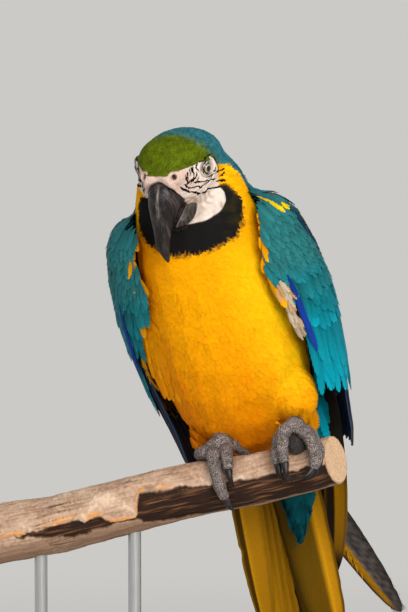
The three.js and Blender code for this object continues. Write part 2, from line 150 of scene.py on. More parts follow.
class Shell:
    """A closed surface as points and triangles in metres, with smooth normals and a search tree."""

    def __init__(self, points, triangles):
        self.points = points
        self.triangles = triangles
        self.edges = np.unique(np.sort(np.concatenate([
            triangles[:, [0, 1]], triangles[:, [1, 2]], triangles[:, [2, 0]],
        ]), axis=1), axis=0)
        self.refresh()

    def refresh(self):
        corners = self.points[self.triangles]
        face = np.cross(corners[:, 1] - corners[:, 0], corners[:, 2] - corners[:, 0])
        self.areas = np.linalg.norm(face, axis=1) / 2
        total = np.zeros_like(self.points)
        for k in range(3):
            for axis in range(3):
                total[:, axis] += np.bincount(self.triangles[:, k], face[:, axis], len(self.points))
        self.normals = unit(total)
        self.tree = None

    def relax(self, times):
        """Evens the surface out by moving each point towards its neighbours' mean."""
        first, second = self.edges.T
        count = np.bincount(np.concatenate([first, second]), minlength=len(self.points))[:, None]
        for _ in range(times):
            total = np.zeros_like(self.points)
            for axis in range(3):
                total[:, axis] += np.bincount(first, self.points[second, axis], len(self.points))
                total[:, axis] += np.bincount(second, self.points[first, axis], len(self.points))
            self.points = (self.points + total / count) / 2
        self.refresh()
        return self

    def push(self, distance):
        """Moves each point along its normal, by millimetres."""
        self.points = self.points + self.normals * (np.asarray(distance) * MM)[..., None]
        self.refresh()
        return self

    def search(self):
        """Search tree over the triangles, made when it is first asked for."""
        if self.tree is None:
            self.tree = BVHTree.FromPolygons(self.points.tolist(), self.triangles.tolist())
        return self.tree

    def near(self, places):
        """Closest points on the surface and its smooth normals there."""
        found = [self.search().find_nearest(p) for p in places.tolist()]
        spots = np.array([f[0] for f in found])
        return spots, self.normal_at(spots, np.array([f[2] for f in found]))

    def cast(self, origins, aims, reach=1.0):
        """Where rays first meet the surface: which of them hit, the points and smooth normals."""
        found = [self.search().ray_cast(o, a, reach) for o, a in zip(origins.tolist(), aims.tolist())]
        hit = np.array([f[0] is not None for f in found])
        met = [f for f in found if f[0] is not None]
        spots = np.array([f[0] for f in met]).reshape(-1, 3)
        return hit, spots, self.normal_at(spots, np.array([f[2] for f in met], int))

    def normal_at(self, spots, faces):
        corners = self.points[self.triangles[faces]]
        weights = []
        for k in range(3):
            opposite = np.cross(corners[:, (k + 1) % 3] - spots, corners[:, (k + 2) % 3] - spots)
            weights.append(np.linalg.norm(opposite, axis=1))
        weights = np.stack(weights, 1)
        return unit(np.einsum("nk,nkc->nc", weights, self.normals[self.triangles[faces]]))

    def scatter(self, count, rng):
        """Random places on the surface, evenly by area."""
        share = np.cumsum(self.areas)
        picked = np.searchsorted(share, rng.random(count) * share[-1])
        a, b = np.sqrt(rng.random(count)), rng.random(count)
        weights = beside(1 - a, a * (1 - b), a * b)
        corners = self.points[self.triangles[picked]]
        spots = np.einsum("nk,nkc->nc", weights, corners)
        return spots, self.normal_at(spots, picked)


def fused(nodes, voxel, swell=0.4, relax=4):
    """One closed surface round several CAD nodes. Sizes in millimetres."""
    whole = bmesh.new()
    for name in nodes:
        piece = bmesh.new()
        piece.from_mesh(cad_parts[name].data)
        bmesh.ops.remove_doubles(piece, verts=piece.verts, dist=0.01 * MM)
        bmesh.ops.recalc_face_normals(piece, faces=piece.faces)
        piece.normal_update()
        for vert in piece.verts:
            vert.co += vert.normal * swell * MM
        part = bpy.data.meshes.new("part")
        piece.to_mesh(part)
        piece.free()
        whole.from_mesh(part)
        bpy.data.meshes.remove(part)
    mesh = bpy.data.meshes.new("fused")
    whole.to_mesh(mesh)
    whole.free()
    return welded(mesh, voxel).relax(relax).push(-swell)


def welded(mesh, voxel):
    """One closed surface round everything in a mesh, on a grid of the given size in millimetres."""
    body = bpy.data.objects.new("fused", mesh)
    bpy.context.scene.collection.objects.link(body)
    remesh = body.modifiers.new("remesh", "REMESH")
    remesh.mode = "VOXEL"
    remesh.voxel_size = voxel * MM
    whole = body.evaluated_get(bpy.context.evaluated_depsgraph_get()).to_mesh()
    whole.calc_loop_triangles()
    points = np.empty(len(whole.vertices) * 3)
    whole.vertices.foreach_get("co", points)
    triangles = np.empty(len(whole.loop_triangles) * 3, np.int64)
    whole.loop_triangles.foreach_get("vertices", triangles)
    bpy.data.objects.remove(body)
    bpy.data.meshes.remove(mesh)
    return Shell(points.reshape(-1, 3), triangles.reshape(-1, 3))


def curve(path):
    """Smooth line through the places of a path."""
    rows = np.array(path, float)
    rows = np.concatenate([[2 * rows[0] - rows[1]], rows, [2 * rows[-1] - rows[-2]]])
    share = np.linspace(0, 1, 8, endpoint=False)[:, None]
    parts = []
    for a, b, c, d in zip(rows, rows[1:], rows[2:], rows[3:]):
        bend = (2 * a - 5 * b + 4 * c - d) * share ** 2 + (3 * b - a - 3 * c + d) * share ** 3
        parts.append(0.5 * (2 * b + (c - a) * share + bend))
    return np.concatenate([*parts, rows[-2][None]])


def tube(line, sizes, up, flat=1.0, sides=18):
    """Closed round rod along a line; flat squeezes it along up. Returns points and triangles."""
    aims = unit(np.gradient(line, axis=0))
    first = tangent(np.tile(np.array(up, float), (len(line), 1)), aims)
    second = np.cross(aims, first)
    turn = np.linspace(0, 2 * np.pi, sides, endpoint=False)[None, :, None]
    ring = np.cos(turn) * first[:, None] * flat + np.sin(turn) * second[:, None]
    wall = (line[:, None] + sizes[:, None, None] * ring).reshape(-1, 3)
    points = np.concatenate([wall, line[:1], line[-1:]])
    last = len(points) - 2
    triangles = []
    for c in range(sides):
        d = (c + 1) % sides
        for k in range(0, last - sides, sides):
            triangles += [(k + c, k + d, k + sides + c), (k + d, k + sides + d, k + sides + c)]
        triangles += [(last, d, c), (last + 1, last - sides + c, last - sides + d)]
    return points, np.array(triangles)


def rounded(line, start, end):
    """Half thicknesses along a line, from start to end, closed by domes."""
    far = travelled(line)
    sizes = start + (end - start) * far / far[-1]
    near = np.minimum(far / start, (far[-1] - far) / end)
    return sizes * np.sqrt(np.clip(1 - (1 - np.clip(near, 0, 1)) ** 2, 0.02, 1))


def taken(body):
    """Points and triangles of a finished bmesh, which is then freed."""
    body.verts.index_update()
    points = np.array([v.co for v in body.verts])
    triangles = np.array([[v.index for v in f.verts] for f in body.faces])
    body.free()
    return points, triangles


def finer(shell, chosen):
    """The shell with the triangles at the chosen points cut in four."""
    body = bmesh.new()
    verts = [body.verts.new(p) for p in shell.points.tolist()]
    for a, b, c in shell.triangles.tolist():
        body.faces.new((verts[a], verts[b], verts[c]))
    ends = shell.edges[chosen[shell.edges].all(1)]
    edges = [body.edges.get((verts[a], verts[b])) for a, b in ends.tolist()]
    bmesh.ops.subdivide_edges(body, edges=edges, cuts=1, use_grid_fill=True)
    bmesh.ops.triangulate(body, faces=[f for f in body.faces if len(f.verts) > 3])
    return Shell(*taken(body))


def joined(parts):
    """Several meshes, each with its points and triangles first, as one set of points and triangles."""
    starts = np.cumsum([0] + [len(part[0]) for part in parts[:-1]])
    points = np.concatenate([part[0] for part in parts])
    return points, np.concatenate([part[1] + start for part, start in zip(parts, starts)])


def thinned(places, spacing, rng):
    """Indices of a subset whose members keep their own spacing, in millimetres, to each other."""
    spacing = np.broadcast_to(spacing, len(places)) * MM
    tree = kdtree.KDTree(len(places))
    for i, place in enumerate(places.tolist()):
        tree.insert(place, i)
    tree.balance()
    free = np.ones(len(places), bool)
    kept = []
    for i in rng.permutation(len(places)).tolist():
        if free[i]:
            kept.append(i)
            for _, j, _ in tree.find_range(places[i], float(spacing[i])):
                free[j] = False
    return np.array(sorted(kept))


# ---- meshes

def add_piece(name, points, triangles, material, colours, maps=None, normals=None, second=None):
    """A visible object on the body, its colour or rows of colours held in the attribute Plumage.

    second is another material and the number of the first triangle that takes it.
    """
    mesh = bpy.data.meshes.new(name)
    mesh.vertices.add(len(points))
    mesh.vertices.foreach_set("co", np.asarray(points, np.float32).ravel())
    mesh.loops.add(3 * len(triangles))
    mesh.loops.foreach_set("vertex_index", np.asarray(triangles, np.int32).ravel())
    mesh.polygons.add(len(triangles))
    mesh.polygons.foreach_set("loop_start", np.arange(0, 3 * len(triangles), 3, dtype=np.int32))
    mesh.polygons.foreach_set("use_smooth", np.ones(len(triangles), bool))
    mesh.update(calc_edges=True)
    layer = mesh.color_attributes.new("Plumage", "FLOAT_COLOR", "POINT")
    full = np.ones((len(points), 4), np.float32)
    full[:, :3] = colours
    layer.data.foreach_set("color", full.ravel())
    for label, coordinates in (maps or {}).items():
        layer = mesh.uv_layers.new(name=label)
        layer.data.foreach_set("uv", coordinates[np.ravel(triangles)].astype(np.float32).ravel())
    if normals is not None:
        mesh.normals_split_custom_set_from_vertices(normals.astype(np.float32))
    mesh.materials.append(material)
    if second:
        mesh.materials.append(second[0])
        later = np.arange(len(triangles)) >= second[1]
        mesh.polygons.foreach_set("material_index", later.astype(np.int32))
    piece = bpy.data.objects.new(name, mesh)
    bpy.context.scene.collection.objects.link(piece)
    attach(piece, "root")
    return piece


class Vane:
    """A flat feather of unit length and width, its edges cut into barbs that point to the tip."""

    def __init__(self, segments, fray, lead=0.95, tip=2.2, root=0.35):
        stations = np.linspace(0, 1, segments + 1)
        width = 0.5 * (root + (1 - root) * np.minimum(1, stations / 0.4)) * np.sqrt(1 - stations ** tip)
        middle = stations[:-1] + 0.5 / segments
        wide = 0.5 * (root + (1 - root) * np.minimum(1, middle / 0.4)) * np.sqrt(1 - middle ** tip)
        along, across, triangles = list(stations), [0.0] * (segments + 1), []
        for side in (1, -1):
            valley = len(along)
            along += list(stations[:-1])
            across += list(side * width[:-1] * (1 - fray))
            peak = len(along)
            ahead_by = np.full(segments, lead / segments)
            ahead_by[-1] = 0.15 / segments
            along += list(middle + ahead_by)
            across += list(side * wide)
            for k in range(segments):
                ahead = valley + k + 1 if k + 1 < segments else k + 1
                faces = [(k, valley + k, k + 1), (valley + k, peak + k, ahead)]
                if k + 1 < segments:
                    faces.append((valley + k, ahead, k + 1))
                triangles += [face if side > 0 else face[::-1] for face in faces]
        self.along = np.minimum(np.array(along), 1.0)
        self.across = np.array(across)
        self.triangles = np.array(triangles)
        self.edge = np.abs(self.across) / 0.5


def lines_over(shell, roots, heading, lengths, rings=4, hold=0.6):
    """Centre lines that lie on the surface: points, normals and headings at each ring."""
    step = (lengths / (rings - 1))[:, None] * MM
    spots, normals = shell.near(roots)
    aims = tangent(heading(spots), normals)
    rows = []
    for k in range(rings):
        rows.append((spots, normals, aims))
        if k < rings - 1:
            spots, normals = shell.near(spots + aims * step)
            aims = tangent(aims * hold + heading(spots) * (1 - hold), normals)
    return [np.stack(part, 1) for part in zip(*rows)]


def feathers(vane, lines, widths, lift, tints, uv_roots, camber=0.22, roundness=0.5, edge=0.0):
    """Points, triangles, colours, maps and normals of many feathers of one shape.

    lift is a pair of heights over the line, at root and tip, in millimetres, and tints is a pair of
    colours, at root and tip; a darker root stands partly for painted shade under the feathers above.
    Widths, heights and colours are one for each feather, or one for all. edge is how much darker the
    margins and the shaft are, partly painted shade along the gaps between feathers.
    """
    spots, normals, aims = lines
    count, rings = spots.shape[:2]
    at = vane.along * (rings - 1)
    ring = np.minimum(at.astype(int), rings - 2)
    share = (at - ring)[None, :, None]

    def along(rows):
        return rows[:, ring] * (1 - share) + rows[:, ring + 1] * share

    centre, normal, aim = along(spots), unit(along(normals)), unit(along(aims))
    side = np.cross(aim, normal)
    widths, base, tip = (np.broadcast_to(sizes, count)[:, None] for sizes in (widths, *lift))
    across = vane.across[None, :] * widths
    rise = base + (tip - base) * vane.along[None, :] ** 1.2
    rise = rise - camber * 4 * vane.across[None, :] ** 2 * widths
    points = centre + side * (across * MM)[..., None] + normal * (rise * MM)[..., None]
    facing = unit(normal + side * (1.3 * roundness * vane.across)[None, :, None])
    tone = vane.along[None, :, None]
    first, last = (np.broadcast_to(tint, (count, 3))[:, None] for tint in tints)
    colours = first * (1 - tone) + last * tone
    colours = colours * (1 - edge * smooth(np.abs(vane.across), 0.22, 0.5))[None, :, None]
    size = len(vane.along)
    triangles = vane.triangles[None] + (np.arange(count) * size)[:, None, None]
    patch = beside(vane.across, vane.along - 0.5) * 0.003
    maps = {
        "OFBake": (uv_roots[:, None, :] + patch[None]).reshape(-1, 2),
        "Vane": np.tile(beside(vane.across + 0.5, vane.along), (count, 1)),
    }
    flat = (rows.reshape(-1, 3) for rows in (points, triangles, colours, facing))
    points, triangles, colours, facing = flat
    return points, triangles, colours, maps, facing


def add_feathers(name, parts, material, own_normals=True):
    """Several sets of feathers as one piece."""
    points, triangles = joined(parts)
    maps = {label: np.concatenate([part[3][label] for part in parts]) for label in parts[0][3]}
    colours, facing = (np.concatenate([part[k] for part in parts]) for k in (2, 4))
    return add_piece(name, points, triangles, material, colours, maps, facing if own_normals else None)


def straight(starts, normals, aims, lengths, rings):
    """Straight centre lines from their starts; lengths in millimetres."""
    steps = np.linspace(0, 1, rings)[None, :, None]
    centre = starts[:, None] + aims[:, None] * (lengths * MM)[:, None, None] * steps
    return [centre, np.repeat(normals[:, None], rings, 1), np.repeat(aims[:, None], rings, 1)]


# ---- markings

def signed_depth(places, outline):
    """How deep places lie inside a closed outline, in its own units; negative outside."""
    start = np.asarray(outline, float)
    edge = np.roll(start, -1, axis=0) - start
    offset = places[:, None, :] - start[None]
    share = np.clip(np.sum(offset * edge, -1) / np.sum(edge * edge, -1), 0, 1)
    gap = np.linalg.norm(offset - share[..., None] * edge[None], axis=-1).min(1)
    above = offset[..., 1] < 0
    crosses = above != np.roll(above, -1, axis=1)
    rise = np.where(edge[:, 1] == 0, 1e-9, edge[:, 1])
    reach = offset[..., 0] - offset[..., 1] * edge[:, 0] / rise
    inside = np.sum(crosses & (reach < 0), axis=1) % 2 == 1
    return np.where(inside, gap, -gap)


# Bare face seen from the side: [forward, up] in the head's frame.
FACE_EDGE = [
    (40, 18), (26, 18), (20, 11.5), (16, 10.6), (9, 9.8), (2, 8.4), (-6, 6.6), (-8.4, 1), (-7.8, -8),
    (-6.2, -16), (-2.5, -23), (-0.5, -28), (4.4, -34), (11.3, -38.6), (18.5, -42), (27.8, -43.5), (40, -42),
]
# Lower edge of the black bib: [degrees round the neck from the front, height] in the trunk's frame.
BIB_EDGE = [
    (-84, 22), (-72, 3), (-60, -5), (-48, -10), (-20, -16.5), (14, -18), (38, -15.5), (57, -13), (69, -5),
    (81, 9), (85, 28),
]


def bareness(points):
    """How far inside the bare face places are, in millimetres; negative in the feathers."""
    place = HEAD.local(points)
    inside = signed_depth(beside(-place[:, 1], place[:, 2]), FACE_EDGE)
    narrow = 3.0 * smooth(place[:, 2], 0, -9) + 6.0 * smooth(place[:, 2], -24, -34)
    inside = inside - narrow * smooth(place[:, 0], -4, -14) * smooth(-place[:, 1], 30, 18)
    brow = 12.4 + 1.6 * np.exp(-((np.abs(place[:, 0]) - 12) / 5.5) ** 2) - place[:, 2]
    return np.where(-place[:, 1] > 17, np.minimum(inside, brow), inside)


def plumage(points, shades):
    """Colours of the feathers of head and body, and of the skin under them."""
    head, trunk = HEAD.local(points), TRUNK.local(points)
    forward, up = -head[:, 1], head[:, 2]
    around = bearing(trunk)
    height = trunk[:, 2]
    low = smooth(height, -60, -225)
    result = blend(shades.yellow, shades.orange, 0.75 * low)
    pale = smooth(np.abs(around), 50, 95) * smooth(height, -140, 0)
    result = blend(result, shades.lemon, 0.15 * pale)
    # Painted light: the breast's side towards the key lamp is made lemon.
    lit = smooth(around, 18, 62) * smooth(height, -225, -130) * smooth(height, 0, -55)
    result = blend(result, shades.lemon, 0.6 * lit)
    # Painted shade: deeper orange on the breast's side away from the key lamp.
    result = blend(result, shades.orange, 0.35 * smooth(around, -22, -48) * smooth(height, 30, -20))
    # Random lumps of deeper orange and of brightness: partly mottling, partly painted shade of soft folds in
    # the breast.
    ruffle_and_fold_shade = grain(points * (1, 1, 0.6), 11, 31.0)
    result = blend(result, shades.orange, 0.4 * smooth(ruffle_and_fold_shade, 0.0, 0.9) * smooth(height, 10, -130))
    result = result * (1 + 0.05 * ruffle_and_fold_shade)[:, None]
    # Back, from nape to rump, and under the tail.
    behind = smooth(np.abs(around), 97, 103) * smooth(height, 25, 5)
    behind = np.maximum(behind, smooth(forward, -20, -23) * smooth(height, -10, 5))
    result = blend(result, shades.mantle, behind)
    result = blend(result, shades.turquoise, smooth(height, -228, -240))
    # Crown: green in front, blue behind, down to a line from the eye to the nape.
    line = -4 - 0.64 * np.maximum(0, -7.5 - forward)
    ahead = forward + 5 * grain(points, 4, 12.0) + 3 * grain(points, 1.6, 7.0)
    crown = blend(shades.green, shades.nape, smooth(ahead, -4, -19))
    mottle = grain(points, 5, 2.0)
    crown = crown * (0.96 + 0.42 * mottle)[:, None]
    result = blend(result, crown, smooth(up - line, -0.8, 0.8) * smooth(height, 24, 30))
    # Bib.
    degrees, edge = zip(*BIB_EDGE)
    over = height - np.interp(around, degrees, edge)
    cap = np.where(np.abs(around) > 62, 29, 80)
    bib = smooth(over, -2.6, 2.2) * smooth(np.abs(around), 85, 83) * smooth(height, cap + 0.8, cap - 0.8)
    bib = bib * smooth(forward, -8, -5) * smooth(up, 2, 0)
    # Painted sheen: a greenish gleam on the black bib, on the side towards the key lamp.
    sheen = 0.5 * smooth(around, 38, 66) * smooth(grain(points, 9, 21.0), -0.3, 0.5)
    result = blend(result, blend(shades.black, (0.045, 0.035, 0.006), sheen), bib)
    return result


def feather_length(points):
    """Length of the small feathers, in millimetres: shortest at the bill and face."""
    away = np.linalg.norm(points - BILL_BASE, axis=1) / MM
    size = np.clip(1.2 + 0.105 * away, 2.8, 17.0)
    return np.minimum(size, 2.6 + 0.6 * np.maximum(0, -bareness(points)))


def lie(points):
    """Direction in which the small feathers point: away from the bill, then down the body."""
    away = points - BILL_BASE
    distance = np.linalg.norm(away, axis=1) / MM
    trunk = TRUNK.local(points)
    flare = np.clip(trunk[:, 0] / 90, -0.8, 0.8)
    down = TRUNK.direction(beside(0.35 * flare, 0.05, -1.0))
    share = smooth(distance, 45, 110)
    return unit(blend(unit(away), down, share))


# ---- materials

class Value:
    """A socket of a node tree; Python's operators on it add Math nodes."""

    def __init__(self, make, socket):
        self.make, self.socket = make, socket

    def _math(self, operation, *inputs):
        return self.make.node("ShaderNodeMath", {"operation": operation}, dict(enumerate(inputs)))

    def __add__(self, other):
        return self._math("ADD", self, other)

    def __radd__(self, other):
        return self._math("ADD", other, self)

    def __sub__(self, other):
        return self._math("SUBTRACT", self, other)

    def __rsub__(self, other):
        return self._math("SUBTRACT", other, self)

    def __mul__(self, other):
        return self._math("MULTIPLY", self, other)

    def __rmul__(self, other):
        return self._math("MULTIPLY", other, self)

    def ramp(self, low, high):
        """0 at low and 1 at high, smooth between."""
        inputs = {"Value": self, "From Min": low, "From Max": high}
        return self.make.node("ShaderNodeMapRange", {"interpolation_type": "SMOOTHSTEP"}, inputs)


class Tree:
    """Adds nodes to a node tree."""

    def __init__(self, tree):
        self.tree = tree

    def node(self, kind, settings=None, inputs=None, output=0):
        """A node of a type: its settings are set first, then its sockets' values or links."""
        made = self.tree.nodes.new(kind)
        for label, value in (settings or {}).items():
            setattr(made, label, value)
        for label, value in (inputs or {}).items():
            self.feed(made.inputs[label], value)
        return Value(self, made.outputs[output])

    def feed(self, socket, value):
        """Links or sets a socket; a plain colour has three numbers."""
        if isinstance(value, Value):
            self.tree.links.new(value.socket, socket)
        else:
            plain = socket.type == "RGBA" and len(value) == 3
            socket.default_value = (*value, 1) if plain else value


class Surface(Tree):
    """A material with one Principled shader."""

    def __init__(self, name, **uniform):
        self.material = bpy.data.materials.new(name)
        self.material.use_nodes = True
        super().__init__(self.material.node_tree)
        self.shader = self.tree.nodes["Principled BSDF"]
        for label, value in uniform.items():
            self.shader.inputs[label.replace("_", " ")].default_value = value

    def mix(self, share, first, second, how="MIX"):
        """Mix of two colours."""
        kind = {"data_type": "RGBA", "blend_type": how}
        return self.node("ShaderNodeMix", kind, {0: share, 6: first, 7: second}, 2)

    def held(self):
        """The colour that the mesh holds."""
        return self.node("ShaderNodeVertexColor", {"layer_name": "Plumage"})

    def toned(self, tone):
        """The mesh's own colour, lighter or darker by a tone."""
        base = self.held()
        grey = self.node("ShaderNodeCombineColor", {}, {0: tone, 1: tone, 2: tone})
        return self.mix(1.0, base, grey, "MULTIPLY")

    def place(self, scale=(1, 1, 1), turn=(0, 0, 0)):
        """Places on the object in metres, turned and stretched."""
        here = self.node("ShaderNodeTexCoord", output=3)
        inputs = {"Vector": here, "Scale": scale, "Rotation": turn}
        return self.node("ShaderNodeMapping", {"vector_type": "TEXTURE"}, inputs)

    def noise(self, where, scale, detail=3.0, rough=0.55):
        inputs = {"Vector": where, "Scale": scale, "Detail": detail, "Roughness": rough}
        return self.node("ShaderNodeTexNoise", {}, inputs)

    def bump(self, height, strength, distance):
        inputs = {"Height": height, "Strength": strength, "Distance": distance}
        return self.node("ShaderNodeBump", {}, inputs)

    def set(self, **sockets):
        for label, value in sockets.items():
            self.feed(self.shader.inputs[label.replace("_", " ")], value)
        return self.material


def plumage_material(name, rough=0.62, barbs=0.25):
    """Feathers: the colour held by the mesh, with fine barbs across each vane."""
    look = Surface(name, Specular_IOR_Level=0.05)
    vane = look.node("ShaderNodeUVMap", {"uv_map": "Vane"})
    apart = look.node("ShaderNodeSeparateXYZ", {}, {0: vane})
    along = Value(look, apart.socket.node.outputs[1])
    lean = look.node("ShaderNodeMath", {"operation": "ABSOLUTE"}, {0: apart - 0.5})
    barb = look.node("ShaderNodeMath", {"operation": "SINE"}, {0: (along - lean) * 260.0})
    fleck = look.noise(look.place(), 420.0, 2.0)
    tone = 1.0 - barbs * 0.25 + barbs * 0.25 * barb + (fleck - 0.5) * 0.24
    relief = look.bump(barb, 0.25, 0.0002)
    return look.set(Base_Color=look.toned(tone), Roughness=rough + 0.12 * (fleck - 0.5), Normal=relief)


def skin_material():
    """Bare and feathered skin: the mesh's own colours, with pores and fine creases."""
    look = Surface("skin", Specular_IOR_Level=0.4)
    cells = {"Vector": look.place(), "Scale": 900.0}
    pores = look.node("ShaderNodeTexVoronoi", {"feature": "DISTANCE_TO_EDGE"}, cells)
    creases = look.noise(look.place(), 500.0, 5.0, 0.7)
    relief = look.bump(pores.ramp(0.0, 0.25) * 0.5 + creases, 0.5, 0.0004)
    tone = look.toned(0.82 + 0.3 * creases)
    return look.set(Base_Color=tone, Roughness=0.45 + 0.25 * creases, Normal=relief)


def foot_material(shades):
    """Small pale scales with dark skin between them."""
    look = Surface("foot_skin", Specular_IOR_Level=0.4)
    cells = {"Vector": look.place(), "Scale": 620.0}
    edge = look.node("ShaderNodeTexVoronoi", {"feature": "DISTANCE_TO_EDGE"}, cells)
    tint = look.node("ShaderNodeTexVoronoi", {"feature": "F1"}, cells, 1)
    own = look.node("ShaderNodeSeparateColor", {}, {0: tint})
    rough = look.noise(look.place(), 900.0, 3.0)
    scale = edge.ramp(0.04, 0.22)
    tone = look.mix(scale, 0.16 * shades.foot, look.toned(0.75 + 0.45 * own))
    relief = look.bump(scale + rough * 0.2, 0.6, 0.0004)
    return look.set(Base_Color=tone, Roughness=0.42 + 0.2 * rough, Normal=relief)


def horn_material(name, pale, along, streaks=0.5, rough=0.32):
    """Horn with growth streaks; along turns the streaks' direction onto the object."""
    look = Surface(name, Specular_IOR_Level=0.22, Coat_Weight=0.05, Coat_Roughness=0.2)
    streak_and_highlight = look.noise(look.place((0.0012, 0.0012, 0.03), along), 1.0, 5.0, 0.65)
    wide = look.noise(look.place((0.007, 0.007, 0.05), along), 1.0, 3.0)
    scuff = look.noise(look.place(), 420.0, 5.0, 0.7)
    share = (streak_and_highlight * 0.6 + wide * 0.6).ramp(0.52, 0.86) * streaks + scuff.ramp(0.62, 0.8) * 0.10
    relief = look.bump(streak_and_highlight + scuff * 0.3, 0.3, 0.0003)
    tone = look.mix(share, look.held(), pale)
    return look.set(Base_Color=tone, Roughness=rough + 0.25 * scuff, Normal=relief)


# ---- settings

def shade(tint, name):
    """A colour that can be set; tint is its hex code or its linear values."""
    tint = colour(tint) if isinstance(tint, str) else tint
    kind = {"subtype": "COLOR", "size": 3, "min": 0, "max": 1, "description": f"Colour of {name.lower()}"}
    return bpy.props.FloatVectorProperty(name=name, default=tint, **kind)


def number(name, text, default, low=0.0, high=1000.0, **kind):
    """A number that can be set."""
    return bpy.props.FloatProperty(name=name, description=text, default=default, min=low, max=high, **kind)


class MacawColours(bpy.types.PropertyGroup):
    """Colours of the plumage, skin and horn."""

    yellow: shade("#FDAC00", "Breast")
    # lemon is also painted as light on the breast's side towards the key lamp.
    lemon: shade("#FFD810", "Sides of the neck")
    # orange is also painted as shade on the breast's side away from the key lamp and over its soft folds.
    orange: shade("#F08000", "Belly")
    green: shade("#58680A", "Forehead")
    nape: shade("#2F7480", "Crown and nape")
    mantle: shade("#156A7C", "Back")
    black: shade("#181717", "Bib")
    face: shade("#E4D5CA", "Bare face")
    dull: shade("#2C7A7E", "Lesser wing coverts")
    teal: shade("#0E8592", "Median wing coverts")
    turquoise: shade("#02A4BC", "Greater wing coverts")
    blue: shade("#14508C", "Flight feathers")
    dark: shade("#1A1C22", "Inner webs")
    gold: shade("#B9820F", "Undersides of flight and tail feathers")
    sapphire: shade("#1C3FA0", "Front edge of the wing")
    quill: shade("#D9C7AE", "Worn feathers and shafts")
    iris: shade("#DAD3AE", "Iris")
    horn: shade("#141011", "Bill and claws")
    # worn is also painted as highlights on the bill's ridge and along the lower bill's rim.
    worn: shade("#8A7F7C", "Worn horn")
    foot: shade("#9A8C87", "Feet")


class MacawSizes(bpy.types.PropertyGroup):
    """Sizes of skin and plumage."""

    density: number("Spacing", "Spacing of small feathers as a share of their length", 0.20, 0.15, 1.0)
    width: number("Width", "Width of small feathers as a share of their length", 0.66, 0.2, 1.2)
    depth: number("Depth", "Depth of the coat as a share of the feathers' length", 0.115, 0.05, 0.5)
    voxel: number("Skin grid", "Size of the skin's first grid in millimetres", 1.7, 1, 5)


class MacawStage(bpy.types.PropertyGroup):
    """Studio round the model."""

    floor: shade((0.72, 0.71, 0.69), "The floor")
    backdrop: shade((0.60, 0.59, 0.57), "The backdrop")
    key: number("Key light", "Power of the large soft lamp", 88, subtype="POWER", unit="POWER")
    fill: number("Fill light", "Power of the weaker lamp", 8, subtype="POWER", unit="POWER")
    sky: number("Sky", "Strength of the light from all round", 0.42)


def settings(context):
    """The colours as arrays, the sizes and the stage's values."""
    scene = context.scene
    names = MacawColours.__annotations__
    shades = SimpleNamespace(**{name: np.array(getattr(scene.macaw_colours, name)) for name in names})
    return shades, scene.macaw_sizes, scene.macaw_stage


# ---- skin

FLESH = ["head", "neck", "trunk", "thigh_left", "thigh_right"]
FEET = {side: [f"foot_{side}"] + [f"toe_{side}_{k}" for k in range(1, 5)] for side in ("left", "right")}


def eye_axis(side):
    """Centre of an eye and the direction in which it looks, in the head's frame."""
    return np.array(EYE["at"]) * (side, 1, 1), unit(np.array(EYE["axis"]) * (side, 1, 1))


def eye_ring(place, side):
    """Height along an eye's axis, and distance from that axis, of places in the head's frame."""
    centre, axis = eye_axis(side)
    offset = place - centre
    along = offset @ axis
    return along, np.linalg.norm(offset - along[:, None] * axis, axis=1)


# Height of the lids and of the folds round them over the eye's centre, by distance from its axis.
LID_RINGS = [0, 3.9, 4.3, 4.7, 5.2, 5.8, 6.3, 6.9, 7.5, 8.1, 8.8, 10]
LID_HEIGHTS = [2.5, 2.8, 4.6, 5.6, 5.7, 5.1, 4.5, 5.0, 4.9, 4.2, 4.4, 4.4]


def with_lids(points):
    """Skin drawn up round the eyeballs in lids and ring folds."""
    place = HEAD.local(points)
    for side in (1, -1):
        along, ring = eye_ring(place, side)
        share = smooth(ring, 10, 7.5) * (along > -1)
        rise = (np.interp(ring, LID_RINGS, LID_HEIGHTS) - along) * share
        place = place + rise[:, None] * eye_axis(side)[1]
    return HEAD.world(place)


def ripple(value, width):
    """A smooth ridge of height 1 at value 0."""
    return np.exp(-(value / width) ** 2)


def face_places(points):
    """Distance aside, forward and up in the head's frame, and a slow waver, at places on the face."""
    place = HEAD.local(points)
    return np.abs(place[:, 0]), -place[:, 1], place[:, 2], grain(points, 7, 4.0)


def nostril_gap(lateral, forward, up):
    """Distance from a nostril's axis, in shares of its size."""
    axis = np.array(NOSTRIL["axis"])
    offset = beside(lateral, forward, up) - NOSTRIL["at"]
    return np.linalg.norm(offset - (offset @ axis)[:, None] * axis, axis=1) / NOSTRIL["size"]


def mouth_gap(forward, up, waver):
    """Distance from the corner of the mouth, round which the folds of the cheek lie."""
    return np.hypot((forward - 29) * 1.1, up + 27) + 1.3 * waver


